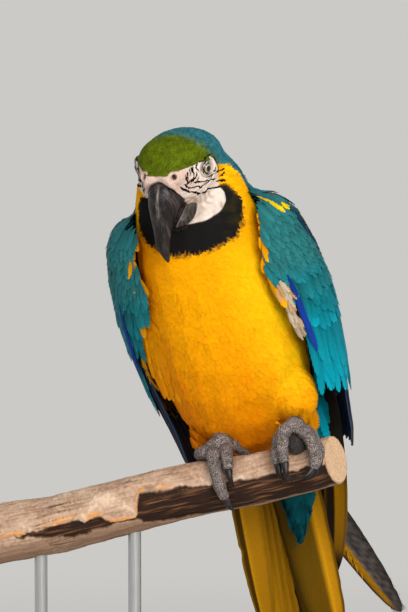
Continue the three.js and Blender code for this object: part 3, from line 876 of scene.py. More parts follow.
def face_relief(points):
    """Heights of the cere, folds and cheeks over the plain face, in millimetres."""
    lateral, forward, up, waver = face_places(points)
    front = smooth(forward, 13, 22)
    lobe = ((lateral - 12.3) / 8.6) ** 2 + ((up - 7.2) / 6.8) ** 2
    rise = 3.4 * np.exp(-0.9 * lobe ** 2) * front
    above = up - cere_line(lateral)
    cere = smooth(above, -3, 1) * smooth(above, 10, 4) * smooth(lateral, 17, 13)
    rise += 4.2 * cere * smooth(forward, 17, 24)
    nostril = nostril_gap(lateral, forward, up)
    rise += front * (0.9 * ripple(nostril - 1.9, 0.6) - 4.2 * np.exp(-nostril ** 4))
    cheek = np.exp(-np.hypot((forward - 11) / 13, (up + 30) / 9) ** 4)
    rise += cheek * (2.3 - 4.3 * smooth(HEAD.local(points)[:, 0], 0, -12))
    # Ridges under the eye, between the lines of feathers.
    bent = up + 0.62 * (forward - 12) - 0.010 * (forward - 12) ** 2 + 0.5 * waver
    for level, high in ((-6.5, 0.4), (-11.5, 0.6), (-16.5, 0.8)):
        rise += high * ripple(bent - level, 1.5) * smooth(forward, -6, 0) * smooth(forward, 31, 27)
    # Folds round the corner of the mouth and over the cheek.
    around = mouth_gap(forward, up, waver)
    for level, deep in FOLDS:
        rise -= deep * ripple(around - level, 0.75) * smooth(up, -12, -20)
    rise += 0.22 * grain(points, 2.2, 9.0) + 0.30 * waver
    return rise * smooth(bareness(points), -1.5, 1.0)


def face_tone(points, shades):
    """Colours of the bare face: white with pink and tan folds, painted shade in the nostrils, creases and
    gape, and dark rims.
    """
    lateral, forward, up, waver = face_places(points)
    blush = smooth(grain(points, 3.5), -0.3, 0.7)
    tone = blend(shades.face, shades.face * (0.88, 0.74, 0.68), 0.45 * blush)
    front = smooth(forward, 15, 24) * smooth(up, -12, -4)
    tone = blend(tone, shades.face * (0.72, 0.50, 0.44), 0.55 * front)
    nostril = nostril_gap(lateral, forward, up)
    # Painted shade: the nostrils' hollows are near black.
    tone = blend(tone, (0.045, 0.02, 0.016), smooth(nostril, 1.35, 0.8) * smooth(forward, 15, 22))
    around = mouth_gap(forward, up, waver)
    tone = blend(tone, shades.face * (0.62, 0.47, 0.38), 0.75 * smooth(around, 15, 9) * smooth(up, -9, -14))
    # Painted shade in the creases of the cheek folds.
    for level, _ in FOLDS:
        crease_shade = ripple(around - level, 0.8) * smooth(up, -12, -20) * smooth(waver, -0.6, 0.4)
        tone = blend(tone, (0.26, 0.15, 0.10), 0.55 * crease_shade)
    # Painted shade: the corner of the gape is near black, for the dark of the open mouth.
    gape = smooth(up, -17.2, -19.0) * smooth(up, -27.5, -25) * smooth(forward, 24.5, 26.5)
    tone = blend(tone, (0.004, 0.003, 0.003), gape * smooth(lateral, 18, 15))
    for side in (1, -1):
        along, ring = eye_ring(HEAD.local(points), side)
        here = along > -2
        lid = np.maximum(smooth(ring, 5.7, 5.3), 0.85 * ripple(ring - 6.5, 0.38)) * here
        tone = blend(tone, (0.02, 0.016, 0.014), lid)
        # Painted shade: dark rings in the creases between the folds round the eye, darkest under the brow.
        tone = blend(tone, (0.10, 0.07, 0.06), 0.75 * ripple(ring - 8.1, 0.33) * here)
        brow = smooth(up - eye_axis(side)[0][2], 0.5, 2.5) * here
        tone = blend(tone, (0.03, 0.02, 0.018), 0.9 * ripple(ring - 7.3, 0.55) * brow)
    return tone


@lru_cache(maxsize=None)
def body_skin(voxel, depth):
    """Skin of head, neck, trunk and thighs, under the coat by its depth."""
    shell = fused(FLESH, voxel, swell=0.4, relax=5)
    bare = bareness(shell.points)
    shell = finer(shell, (bare > -3) & (-HEAD.local(shell.points)[:, 1] > -14))
    near_eye = np.zeros(len(shell.points), bool)
    for side in (1, -1):
        along, ring = eye_ring(HEAD.local(shell.points), side)
        near_eye |= (ring < 10.5) & (along > -1)
    shell = finer(shell, near_eye)
    under = depth * feather_length(shell.points) * smooth(bareness(shell.points), 1.0, -2.0)
    billow = grain(shell.points, 34, 3.0) + 0.4 * grain(shell.points, 14, 5.0)
    shell.push(-under + 1.4 * billow * smooth(TRUNK.local(shell.points)[:, 2], 30, -30))
    shell.push(face_relief(shell.points))
    place = HEAD.local(shell.points)
    side = ((place[:, 0] + 21) / 11) ** 2 + ((place[:, 1] + 6) / 15) ** 2 + ((place[:, 2] - 17) / 11) ** 2
    shell.push(3.0 * np.exp(-side))
    return Shell(with_lids(shell.points), shell.triangles)


@lru_cache(maxsize=None)
def wing_skin(side, voxel):
    """Skin of one wing, under its coverts."""
    return fused([f"wing_{side}_coverts"], voxel, swell=0.2, relax=4).push(-1.6)


# Toes and claws of each foot. The right foot's places are [along the branch, degrees round it from the
# front, distance from its axis]; the left foot's are [left, back, up from the branch's axis].
DIGITS = {
    "right": {
        1: [(-17, 84, 33), (-10, 98, 34), (-6, 122, 32), (-3, 152, 31), (-2, 180, 30)],
        2: [(-15, 82, 34), (-12, 68, 33), (-10.5, 50, 31), (-9.5, 26, 30)],
        3: [(-26, 82, 34), (-24, 64, 33), (-22, 36, 31), (-20.5, 4, 30), (-18.6, -22, 29.5)],
        4: [(-26, 82, 33), (-34, 82, 33), (-40, 96, 32), (-43, 128, 31), (-44, 165, 30)],
    },
    "left": {
        1: [(33, -38, 51), (25.5, -40, 40), (23, -43, 28), (24, -45, 18)],
        2: [(35, -42, 53), (30, -49, 49), (28, -53, 41), (28.3, -54, 31), (30.2, -54, 21)],
        3: [(42, -41, 53), (47.5, -46, 49), (53, -50, 42), (56, -52, 31), (57.3, -53, 22), (54, -54, 15.5)],
        4: [(45, -36, 52), (54, -40, 43), (60, -43, 32), (61, -46, 22)],
    },
}
NAILS = {
    "right": {
        1: [(-2, 178, 30), (-1, 192, 29), (0, 206, 27)],
        2: [(-9.5, 28, 30.5), (-9.3, 12, 30.5), (-8.5, -6, 27.5)],
        3: [(-18.6, -20, 29.5), (-18.3, -40, 29), (-17.5, -60, 27)],
        4: [(-44, 162, 30), (-45, 180, 29), (-46, 196, 27)],
    },
    "left": {
        1: [(24, -45, 19), (26, -48, 10), (31, -49, 4)],
        2: [(30.2, -54, 22), (31.5, -57.5, 12), (37, -55, 4.5)],
        3: [(55, -54, 16.5), (48.5, -57.5, 10), (39, -56, 11)],
        4: [(61, -46, 23), (59, -49, 13), (52, -50, 7.5)],
    },
}
# Middle of the hollow of the left fist, where the skin is painted near black as shade.
PALM = (41, -33, PERCH_HEIGHT + 36)
# Leg and pad of each foot: places, half thickness at both ends and how flat it is.
PADS = {
    "right": [
        ([(-13, 92, 46), (-16, 88, 40), (-19, 85, 34)], 9, 11, 1.0),
        ([(-33, 85, 33), (-20, 84, 36), (-7, 86, 33)], 8.5, 8.0, 0.9),
    ],
    "left": [
        ([(42, -14, 51), (40, -28, 51), (39, -38, 50)], 9, 9, 1.0),
        ([(31, -42, 50), (39, -43, 53.5), (47, -42, 49)], 7, 7, 1.0),
        ([(40, -37, 50), (40.5, -38, 40), (41, -37, 27)], 11, 9, 0.5),
    ],
}


def foot_line(side, places):
    """Smooth line in world metres through places given as the foot's tables give them."""
    if side == "left":
        return (curve(places) + [0, 0, PERCH_HEIGHT]) * MM
    along, turn, reach = curve(places).T
    turn = np.radians(turn)
    return PERCH.world(beside(along, -reach * np.cos(turn), reach * np.sin(turn)))


@lru_cache(maxsize=None)
def foot_skin(side):
    """Scaly skin of one foot, its toes welded to the pad."""
    rods = []
    for places in DIGITS[side].values():
        line = foot_line(side, places)
        sizes = rounded(line, 6.3 * MM, 4.9 * MM)
        beat = 1 + 0.07 * np.cos(np.linspace(0, 2 * np.pi * (len(places) - 1), len(line)))
        rods.append(tube(line, sizes * beat, (0.2, 1, 0.1)))
    for places, start, end, flat in PADS[side]:
        line = foot_line(side, places)
        rods.append(tube(line, rounded(line, start * MM, end * MM), (0.1, 1, 0.2), flat))
    points, triangles = joined(rods)
    mesh = bpy.data.meshes.new("foot")
    mesh.from_pydata(points.tolist(), [], triangles.tolist())
    shell = welded(mesh, 0.62).relax(7)
    cells = np.array([noise.voronoi(Vector(p) / (2.6 * MM))[0][:2] for p in shell.points.tolist()])
    plates = smooth(cells[:, 1] - cells[:, 0], 0.0, 0.3)
    return shell.push(0.35 * plates + 0.5 * grain(shell.points, 6, 2.0))


class MACAW_OT_skin(bpy.types.Operator):
    """Make the skin of head, body, wings and feet"""

    bl_idname = "macaw.skin"
    bl_label = "Skin"

    def execute(self, context):
        shades, sizes, _ = settings(context)
        body = body_skin(sizes.voxel, sizes.depth)
        wings = [wing_skin(side, sizes.voxel) for side in WING]
        feet = [foot_skin(side) for side in FEET]
        bare = smooth(bareness(body.points), -0.2, 0.5)
        # Skin under the feathers takes the plumage's colour darkened, and a dark mantle colour on the wings:
        # painted shade deep in the coat.
        tones = [blend(plumage(body.points, shades) * 0.75, face_tone(body.points, shades), bare)]
        for wing in wings:
            tones.append(np.tile(shades.mantle * 0.5, (len(wing.points), 1)))
        for foot in feet:
            patch = smooth(grain(foot.points, 9.0), -0.5, 0.5)
            tone = blend(shades.foot * 0.75, shades.foot * 1.15, patch)
            # Painted shade: the hollow of the fist is painted near black.
            shaded_hollow = np.linalg.norm((foot.points / MM - PALM) / (13.5, 13.5, 24), axis=1)
            tones.append(tone * (1 - 0.97 * smooth(shaded_hollow, 1.08, 0.92))[:, None])
        points, triangles = joined([(shell.points, shell.triangles) for shell in (body, *wings, *feet)])
        first = len(triangles) - sum(len(foot.triangles) for foot in feet)
        piece = add_piece("skin", points, triangles, skin_material(), np.concatenate(tones),
                          second=(foot_material(shades), first))
        covered = FLESH + [f"wing_{side}_coverts" for side in WING] + FEET["left"] + FEET["right"]
        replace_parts(piece, *covered)
        return {"FINISHED"}


# ---- small feathers

REGIONS = {
    # piece: (segments of a vane, depth of the cuts between its barbs)
    "head_feathers": (5, 0.6),
    "neck_feathers": (8, 0.55),
    "breast_feathers": (9, 0.55),
    "belly_feathers": (9, 0.55),
    "back_feathers": (7, 0.4),
}


def region_of(points):
    """Which piece of the coat each place belongs to."""
    trunk = TRUNK.local(points)
    around = np.abs(bearing(trunk))
    names = np.full(len(points), "breast_feathers", dtype=object)
    names[trunk[:, 2] < -110] = "belly_feathers"
    names[(trunk[:, 2] < 20) & (around > 98)] = "back_feathers"
    names[trunk[:, 2] > 0] = "neck_feathers"
    names[trunk[:, 2] > 34] = "head_feathers"
    return names


def unwrapped(points, name):
    """Places of roots on an unwrap of the skin: a disc for the head, a rolled-out tube for the rest."""
    if name == "head_feathers":
        place = HEAD.local(points) + [0, -6, 10]
        tilt = np.arctan2(np.hypot(place[:, 0], place[:, 1]), place[:, 2]) / np.pi
        turn = np.arctan2(place[:, 0], -place[:, 1])
        return 0.5 + 0.48 * tilt[:, None] * beside(np.cos(turn), np.sin(turn))
    trunk = TRUNK.local(points)
    around = np.arctan2(trunk[:, 0], -trunk[:, 1]) / (2 * np.pi) + 0.5
    if name == "back_feathers":
        around = (around + 0.5) % 1.0
    height = trunk[:, 2]
    low, high = height.min() - 1, height.max() + 1
    return beside(0.02 + 0.96 * around, 0.02 + 0.96 * (height - low) / (high - low))


@lru_cache(maxsize=None)
def covers():
    """What lies close over the skin, so that no small feather grows there."""
    nodes = ["wing_left_coverts", "wing_right_coverts", "bill_upper", "bill_lower"]
    nodes += [f"foot_{side}" for side in FEET] + ["perch_branch", "tail_coverts_under", "tail_coverts_upper"]
    return [fused([node], 3.0, swell=0.0, relax=0) for node in nodes]


def hidden(points, normals):
    """Places that another part covers closely."""
    found = np.zeros(len(points), bool)
    reach = 3.5
    for shell in covers():
        hit, _, _ = shell.cast(points - normals * 2 * MM, normals, reach * MM)
        back, _, _ = shell.cast(points + normals * reach * MM, -normals, reach * MM)
        found |= hit & back
    return found


class MACAW_OT_small_feathers(bpy.types.Operator):
    """Cover head, neck, body and thighs with small feathers"""

    bl_idname = "macaw.small_feathers"
    bl_label = "Small feathers"

    def execute(self, context):
        shades, sizes, _ = settings(context)
        shell = body_skin(sizes.voxel, sizes.depth)
        rng = np.random.default_rng(7)
        spots, _ = shell.scatter(150000, rng)
        near_head = np.linalg.norm(shell.points - BILL_BASE, axis=1) < 0.085
        dense = shell.points[near_head & (bareness(shell.points) < -0.1)]
        places = np.concatenate([spots[bareness(spots) < -0.1], dense + rng.normal(0, 0.0002, dense.shape)])
        kept = thinned(places, sizes.density * feather_length(places), rng)
        places, normals = shell.near(places[kept])
        seen = ~hidden(places, normals)
        places, length = places[seen], feather_length(places[seen])
        names = region_of(places)
        material = plumage_material("small_feathers", 0.68, 0.2)
        for name, (segments, fray) in REGIONS.items():
            mine = names == name
            roots, size = places[mine], length[mine] * rng.uniform(0.9, 1.15, mine.sum())
            number = len(roots)
            lines = lines_over(shell, roots, lie, size, rings=4)
            wobble = rng.normal(0, 0.09, (number, 1, 1))
            lines[2] = unit(lines[2] + np.cross(lines[1], lines[2]) * wobble)
            tip = sizes.depth * size * rng.uniform(0.94, 1.08, number)
            tone = plumage(lines[0][:, 2] + rng.normal(0, 0.0004, (number, 3)), shades)
            spread = 0.30 if name == "head_feathers" else 0.06
            tone = tone * rng.uniform(1 - spread, 1 + spread, (number, 1))
            # Roots a little darker than tips: partly painted shade under the feathers above.
            mesh = feathers(Vane(segments, fray), lines, size * sizes.width * rng.uniform(0.85, 1.15, number),
                            (0.05, tip), (tone * 0.93, tone), unwrapped(roots, name),
                            camber=0.10, roundness=0.22)
            add_feathers(name, [mesh], material)
        return {"FINISHED"}


# Dark lines of tiny feathers on the bare face: their places [forward, up] in the head's frame, and the
# length of the feathers that make them.
FACE_LINES = [
    # Under the eye.
    ([(30.5, -1), (29, -5), (27, -8.5), (23, -12), (18.5, -16.5), (15, -18), (8.5, -18.5), (1, -23),
      (-1, -24)], 2.2),
    ([(27.5, -1), (26.5, -4.5), (24, -6.5), (19.5, -8), (17, -10.5), (9.5, -10.5), (6, -10.5),
      (0.5, -14)], 1.35),
    ([(22, -3), (18.5, -4), (15, -6.5), (10, -8.5)], 1.2),
    # Between cere and eye.
    ([(25, 8), (25.5, 4.5), (25.3, 2)], 1.0),
    ([(21.5, 8.5), (23.4, 5), (25.4, 1.2)], 1.3),
    ([(19.2, 9.8), (20.2, 6.2)], 1.5),
    ([(16.6, 10), (18.2, 7.0)], 1.4),
    ([(14.6, 9.6), (16.8, 7.4), (18.5, 4), (20.5, 1.7), (23, 0.4), (27.2, -1)], 1.2),
    ([(9.2, 9.4), (12.8, 7.8), (13.4, 4.8)], 1.2),
    ([(15.8, 4.6), (17, 2.2)], 1.0),
    ([(4.9, 8.8), (8.4, 7.4), (10.6, 5), (11.9, 2.4)], 1.2),
    ([(17.6, 1.2), (22.6, -1.3)], 1.1),
    ([(15.0, -0.6), (17.8, -2)], 0.9),
    # Folds under the lower lid.
    ([(10.6, -4.4), (6.6, -6.4), (0.6, -8.2)], 1.0),
    ([(1.6, -6.6), (-2.4, -5.6)], 1.0),
    ([(9.2, -7.6), (5.4, -8.2)], 0.8),
    # Behind the eye, over the yellow.
    ([(-2.7, -8.8), (-8, -11), (-13, -13.4)], 1.4),
    ([(-6.8, -16.2), (-9, -16.6), (-12, -16.8)], 1.1),
    ([(-1, -17.5), (-4, -19.2), (-8, -21.5)], 1.9),
    # Along the brow and behind the face.
    ([(10.5, 9.3), (4.0, 9.6), (-5.5, 7.0)], 0.9),
    ([(-6.0, 6.0), (-8.3, 1.0), (-7.6, -8.0)], 0.9),
]


class MACAW_OT_face_lines(bpy.types.Operator):
    """Set the dark lines of tiny feathers on the bare face"""

    bl_idname = "macaw.face_lines"
    bl_label = "Face lines"

    def execute(self, context):
        shades, sizes, _ = settings(context)
        shell = body_skin(sizes.voxel, sizes.depth)
        rng = np.random.default_rng(11)
        places, aims, wide = [], [], []
        for side in (1, -1):
            for path, width in FACE_LINES:
                width = width * (1.25 if path[0][1] > 0 else 1.1)
                path = curve(path)
                far = travelled(path)
                stops = np.arange(0, far[-1], 0.45)
                line = beside(np.interp(stops, far, path[:, 0]), np.interp(stops, far, path[:, 1]))
                there = np.gradient(line, axis=0)
                line = line + rng.normal(0, 0.14, line.shape)
                line = line + 0.22 * np.sin(stops[:, None] / 2.4 + width * 9)
                places += [[side * 70, -f, u] for f, u in line]
                aims += [[0, -f, u] for f, u in there]
                wide += list(width * (0.75 + 0.35 * np.sin(stops / 1.9 + width * 5)))
        origins = HEAD.world(places)
        sideways = HEAD.direction(np.sign(np.array(places)[:, :1]) * [[-1.0, 0, 0]])
        hit, spots, normals = shell.cast(origins, sideways)
        heading = HEAD.direction(np.array(aims)[hit]) + rng.normal(0, 0.16, (hit.sum(), 3))
        wide = np.array(wide)[hit] * rng.uniform(0.8, 1.2, len(spots))
        size = rng.uniform(1.8, 2.6, len(spots))
        lines = straight(spots, normals, tangent(heading, normals), size, 3)
        tone = shades.black * 0.7 * rng.uniform(0.7, 1.2, (len(spots), 1))
        over = 0.1 + 0.30 * np.maximum(0, -bareness(spots))
        local = HEAD.local(spots)
        aside = np.sign(local[:, 0]) * (0.05 + (40 + local[:, 1]) / 130)
        chart = beside(0.5 + aside, 0.5 + local[:, 2] / 70)
        mesh = feathers(Vane(3, 0.3), lines, wide, (over, over + size * 0.16), (tone, tone), chart)
        add_feathers("face_lines", [mesh], plumage_material("face_feathers", 0.6, 0.1))
        return {"FINISHED"}


# ---- eyes, bill and claws

class MACAW_OT_eyes(bpy.types.Operator):
    """Make the eyeballs with iris and pupil"""

    bl_idname = "macaw.eyes"
    bl_label = "Eyes"

    def execute(self, context):
        shades, _, _ = settings(context)
        look = Surface("eye", Roughness=0.06, Specular_IOR_Level=0.4, Coat_Weight=0.15, Coat_Roughness=0.02)
        look.set(Base_Color=look.toned(0.85 + 0.3 * look.noise(look.place(), 2600.0, 3.0)))
        for side, name in ((1, "left"), (-1, "right")):
            centre, axis = eye_axis(side)
            ball = bmesh.new()
            bmesh.ops.create_uvsphere(ball, u_segments=64, v_segments=48, radius=1.0)
            bmesh.ops.triangulate(ball, faces=ball.faces)
            sphere, triangles = taken(ball)
            turn = np.array(Vector(axis).to_track_quat("Z", "Y").to_matrix())
            ring = np.hypot(sphere[:, 0], sphere[:, 1]) * EYE["radius"]
            front = sphere[:, 2] > 0
            bulge = 1 + 0.05 * smooth(ring, 4.2, 1.0) * front
            rim = blend(shades.iris * 0.62, shades.iris * 0.12, smooth(ring, 3.3, 4.1))
            rim = blend(shades.iris * (0.30, 0.24, 0.17), rim, smooth(ring, 2.4, 3.1))
            tones = blend((0.004, 0.004, 0.004), rim, smooth(ring, 2.35, 2.6))
            tones = blend(tones, (0.02, 0.015, 0.012), np.where(front, smooth(ring, 4.2, 4.6), 1.0))
            points = HEAD.world(centre + (sphere * bulge[:, None] * (EYE["radius"] - 0.1)) @ turn.T)
            piece = add_piece(f"eyeball_{name}", points, triangles, look.material, tones)
            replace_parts(piece, f"eye_{name}")
        return {"FINISHED"}


def cere_line(lateral):
    """Height of the bill's upper edge on the face, by the distance from the middle."""
    return 6.5 - 0.045 * lateral ** 2 - 0.0001 * lateral ** 4


def upper_bill(place):
    """Upper bill drawn out to a corner at the gape, with a straighter ridge."""
    forward, up = -place[:, 1], place[:, 2]
    corner = np.exp(-((forward - 25) / 8) ** 2 - ((up + 18) / 6) ** 2)
    aside = place[:, 0] * (1.04 + 0.26 * corner + 0.06 * smooth(up, -30, -12))
    aside = aside + 1.2 * smooth(up, -32, -8) - 1.4 * ripple(up + 47, 11)
    forward = forward - 2.0 * smooth(up, -32, -6) + 2.0 * ripple(up + 45, 11)
    over = up - cere_line(aside * 1.04)
    forward = forward - np.clip(3.5 * over, 0, 15)
    up = up - 0.5 * np.maximum(over, 0)
    return beside(aside, -forward, up)


def lower_bill(place):
    """Lower bill, wider and higher at its rear corners."""
    forward, up = -place[:, 1], place[:, 2]
    rear = smooth(forward, 34, 20)
    up = up + 4.5 * rear * smooth(up, -46, -28) + 3.5 * smooth(up, -36, -46)
    return beside(place[:, 0] * (1.10 + 0.12 * rear), place[:, 1], up)


class MACAW_OT_bill(bpy.types.Operator):
    """Make the horny bill, smooth and streaked"""

    bl_idname = "macaw.bill"
    bl_label = "Bill"

    def execute(self, context):
        shades, _, _ = settings(context)
        slant = (math.radians(33), 0, math.radians(-24.5))
        material = horn_material("bill_horn", shades.worn, slant, 0.27, 0.26)
        for name, shaped in (("bill_upper", upper_bill), ("bill_lower", lower_bill)):
            shell = fused([name], 0.7, swell=0.3, relax=5)
            place = shaped(HEAD.local(shell.points))
            shell = Shell(HEAD.world(place), shell.triangles)
            growth = np.sin(place[:, 0] * 3.1 + 2.0 * grain(shell.points, 14, 3.0))
            shell.push(0.02 * growth + 0.15 * grain(shell.points, 8, 1.0))
            tone, up = shades.horn, place[:, 2]
            if name == "bill_lower":
                edge = np.abs(place[:, 0]) - np.interp(up, [-41, -36, -31, -24], [6.0, 8.2, 11.0, 15.0])
                vein = smooth(np.sin(2.3 * place[:, 0] + 3 * grain(shell.points, 9, 8.0)), -0.2, 0.9)
                tone = blend(tone, shades.worn * (0.26, 0.22, 0.19), (0.25 + 0.6 * vein) * smooth(edge, 0, 3))
                # Painted highlight: a pale line along the lower bill's rim.
                tone = blend(tone, shades.worn * (0.9, 0.75, 0.65), 0.8 * ripple(edge - 0.4, 0.55))
                # Painted shade: inside the rim the lower bill is near black, for the dark of the open mouth.
                tone = blend(tone, (0.004, 0.003, 0.003), smooth(edge, 0.0, -0.5))
                shell.push(-1.5 * smooth(edge, 0.0, -1.2))
            else:
                # Painted highlight: a pale stripe in the worn-horn colour down the ridge.
                streak_and_highlight = ripple(place[:, 0] - 0.6, 1.3) * smooth(up, -24, -10) * smooth(up, 6, 2)
                streak_and_highlight = streak_and_highlight * smooth(grain(place * (3, 1, 0.3) * MM, 4, 2.0), -0.6, 0.3)
                tone = blend(tone, shades.worn * 1.3, 0.85 * streak_and_highlight)
                tone = blend(tone, (0.018, 0.011, 0.009), 0.6 * smooth(np.abs(place[:, 0]), 9, 14))
                # Painted shade: the cutting edge lies in the dark of the open mouth and is painted near
                # black.
                mouth = 0.65 * (place[:, 1] + 44.5) - 0.76 * (up + 21)
                tone = blend(tone, (0.002, 0.0015, 0.0015), smooth(mouth, -0.4, 0.6) * smooth(up, -26, -22))
            piece = add_piece(f"{name}_horn", shell.points, shell.triangles, material, tone)
            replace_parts(piece, name)
        return {"FINISHED"}


class MACAW_OT_claws(bpy.types.Operator):
    """Make the claws"""

    bl_idname = "macaw.claws"
    bl_label = "Claws"

    def execute(self, context):
        shades, _, _ = settings(context)
        material = horn_material("claw_horn", shades.worn, (0, 0, 0), 0.2, 0.25)
        for side in FEET:
            for number, places in NAILS[side].items():
                line = foot_line(side, places)
                share = np.linspace(0, 1, len(line))
                sizes = (3.5 * (1 - share) ** 0.7 * smooth(share, -0.25, 0.06) + 0.25) * MM
                points, triangles = tube(line, sizes, (0.2, 1, 0.1), 0.85, sides=24)
                name = f"claw_{side}_{number}"
                piece = add_piece(f"{name}_horn", points, triangles, material, shades.horn)
                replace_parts(piece, name)
        return {"FINISHED"}


# ---- wings

# Outer face of a folded wing: height, half breadth, half depth, and front and rear edge in degrees.
WING_OUTLINE = [
    (22, 50, 26, -2, 44), (14, 64, 38, -16, 56), (6, 77, 48, -34, 68), (-12, 89, 56, -44, 75),
    (-44, 95, 60, -51, 79), (-60, 96, 61, -50, 80), (-72, 97, 61, -36, 80), (-86, 97.5, 61.5, -35, 81),
    (-126, 94, 59.5, -31, 82), (-160, 88, 57, -26, 82), (-198, 80, 53, -16, 82), (-232, 74, 56, -2, 83),
    (-262, 64, 58, 14, 74),
]
WING_CENTRE = 8
WING_RAKE = 24
WING_RADIUS = 82
# Where the right wing's coverts begin, which the belly hides: height, and degrees from the wing's front.
RIGHT_BRINK = [(-172, -8), (-150, -16), (-134, -22), (-118, -34), (-106, -60)]


class WingFace:
    """The outer face of one folded wing, by height and by degrees from its front to its rear."""

    def __init__(self, side):
        self.frame = WING[side]
        self.side = 1 if side == "left" else -1

    def edge(self, heights, front=True):
        rows = np.array(WING_OUTLINE[::-1])
        turns = np.interp(heights, rows[:, 0], rows[:, 3 if front else 4])
        if front and self.side < 0:
            turns = turns - 7 * smooth(heights, -72, -60) * smooth(heights, 16, 4)
            turns = turns - 6 * smooth(heights, -60, -72) * smooth(heights, -200, -160)
            turns = turns - 14 * smooth(heights, -14, 8)
        return turns

    def places(self, heights, turns, rise=0.0):
        rows = np.array(WING_OUTLINE[::-1])
        breadth = np.interp(heights, rows[:, 0], rows[:, 1]) + rise
        depth = np.interp(heights, rows[:, 0], rows[:, 2]) + rise
        turn = np.radians(turns)
        share = (turns + 36) / 112
        spots = [breadth * np.cos(turn), WING_CENTRE + depth * np.sin(turn), heights - WING_RAKE * share]
        return self.frame.world(np.stack(spots, -1))

    def normals(self, heights, turns):
        over = self.places(heights, turns + 0.5) - self.places(heights, turns - 0.5)
        down = self.places(heights - 0.5, turns) - self.places(heights + 0.5, turns)
        return unit(np.cross(down, over)) * self.side

    def lines(self, heights, turns, lengths, slant, rings=6):
        """Feathers' centre lines, from their roots down the wing; slant is in degrees per length."""
        steps = np.linspace(0, 1, rings)
        at = heights[:, None] - lengths[:, None] * steps
        turn = turns[:, None] + slant[:, None] * steps
        spots, normals = self.places(at, turn), self.normals(at, turn)
        return [spots, normals, unit(np.gradient(spots, axis=1))]


# Lesser, median and greater coverts: first and last row's height, step, and a feather's length and width.
COVERTS = [(18, -56, 5.5, 19, 8.0), (-52, -88, 11, 36, 11.5), (-80, -119, 13, 84, 11.5)]


def wing_chart(heights, turns):
    """Places of feathers on the unwrapped wing."""
    return beside(0.03 + 0.94 * (turns + 70) / 170, 0.03 + 0.94 * (heights + 270) / 310)


def wing_tint(side, heights, turns, front, shades, rng):
    """Colours of wing coverts by their place in the wing."""
    count = len(heights)
    tone = blend(shades.dull, shades.teal, smooth(heights, -34, -66))
    tone = blend(tone, shades.turquoise, smooth(heights, -62, -100))
    tone = blend(tone, shades.mantle, 0.8 * smooth(turns, 35, 70) * smooth(heights, -100, -40))
    if side > 0:
        tuft = np.exp(-((heights - 12.5) / 3.8) ** 2 - ((turns + 18) / 17) ** 2)
        tone = blend(tone, shades.lemon, smooth(tuft, 0.35, 0.5))
        brink = turns - np.interp(heights, [-46, -22, -4, 8], [7, -2, -7, -8])
        shadow = smooth(brink, -1, 2) * smooth(brink, 20, 12)
        shadow = shadow * smooth(heights, -54, -44) * smooth(heights, 10, 5)
        tone = blend(tone, shades.blue * 0.22, 0.9 * shadow)
        fleck = (rng.random(count) < 0.4) & (turns - front < 1.6) & (heights < -12) & (heights > -58)
    else:
        # Painted shade: on the right wing the coverts near the front edge and low down are darker, beside the
        # body.
        tone = blend(tone, shades.dull * 0.6, 0.8 * smooth(turns - front, 30, 12) * smooth(heights, -60, -90))
        fleck = (rng.random(count) < 0.28) & (np.abs(turns - front - 3) < 1.6) & (heights < -6)
    tone = blend(tone, shades.yellow, 1.0 * fleck)
    return tone * rng.uniform(0.80, 1.18, (count, 1))


def covert_rows(face, shades, rng, top, bottom, step, length, width):
    """Several rows of wing coverts of one kind."""
    heights, turns = [], []
    small = length < 20
    for k, height in enumerate(np.arange(top, bottom, -step)):
        gap = math.degrees(width * 0.52 / WING_RADIUS)
        row = np.arange(face.edge(height) + (k % 2) * gap / 2, face.edge(height, False), gap)
        turns += list(row)
        heights += list(height + 0 * row)
    count = len(heights)
    heights = np.array(heights) + rng.normal(0, step * 0.09, count)
    turns = np.array(turns) + rng.normal(0, 0.7, count)
    front = face.edge(heights)
    if face.side < 0:
        kept = turns > np.interp(heights - 0.6 * length, *zip(*RIGHT_BRINK))
        heights, turns, front = heights[kept], turns[kept], front[kept]
        count = len(heights)
    size = length * rng.uniform(0.88, 1.12, count)
    slant = rng.normal(0, 2.0, count) * length / 30
    lines = face.lines(heights, turns, size, slant, rings=6 if length < 40 else 9)
    tone = wing_tint(face.side, heights, turns, front, shades, rng)
    lift = (-1.6, rng.uniform(0.1, 0.9, count) * (0.8 if small else 1.4))
    vane = Vane(7, 0.3, tip=2.2) if small else Vane(6 + length // 12, 0.12, tip=2.6)
    # Roots and margins darker: partly the feathers' duller bases, partly painted shade where the rows
    # overlap.
    return feathers(vane, lines, width * rng.uniform(0.85, 1.15, count), lift,
                    (tone * (0.62 if small else 0.40), tone), wing_chart(heights, turns),
                    camber=0.12, roundness=0.35, edge=0.3 if small else 0.6)


class MACAW_OT_wing_coverts(bpy.types.Operator):
    """Lay the rows of covert feathers on both wings"""

    bl_idname = "macaw.wing_coverts"
    bl_label = "Wing coverts"

    def execute(self, context):
        shades, _, _ = settings(context)
        material = plumage_material("wing_feathers", 0.5, 0.35)
        for side in WING:
            face, rng = WingFace(side), np.random.default_rng(21)
            parts = [covert_rows(face, shades, rng, *row) for row in COVERTS]
            # Long blue feathers along the front edge.
            heights = np.array([-62.0, -72.0, -84.0])
            turns = np.array([-40.0, -40.5, -40.0]) + (0 if side == "left" else 7)
            lines = face.lines(heights, turns, np.array([58.0, 62, 56]), np.array([2.5, 3.5, 4.5]), rings=9)
            # Darker roots here too: partly painted shade under the coverts above.
            tints = (shades.sapphire * 0.6, shades.sapphire)
            parts.append(feathers(Vane(12, 0.08, tip=4.0), lines, 6.0, (0.5, 2.2), tints,
                                  wing_chart(heights, turns), camber=0.12))
            add_feathers(f"wing_{side}_covert_feathers", parts, material)
        return {"FINISHED"}


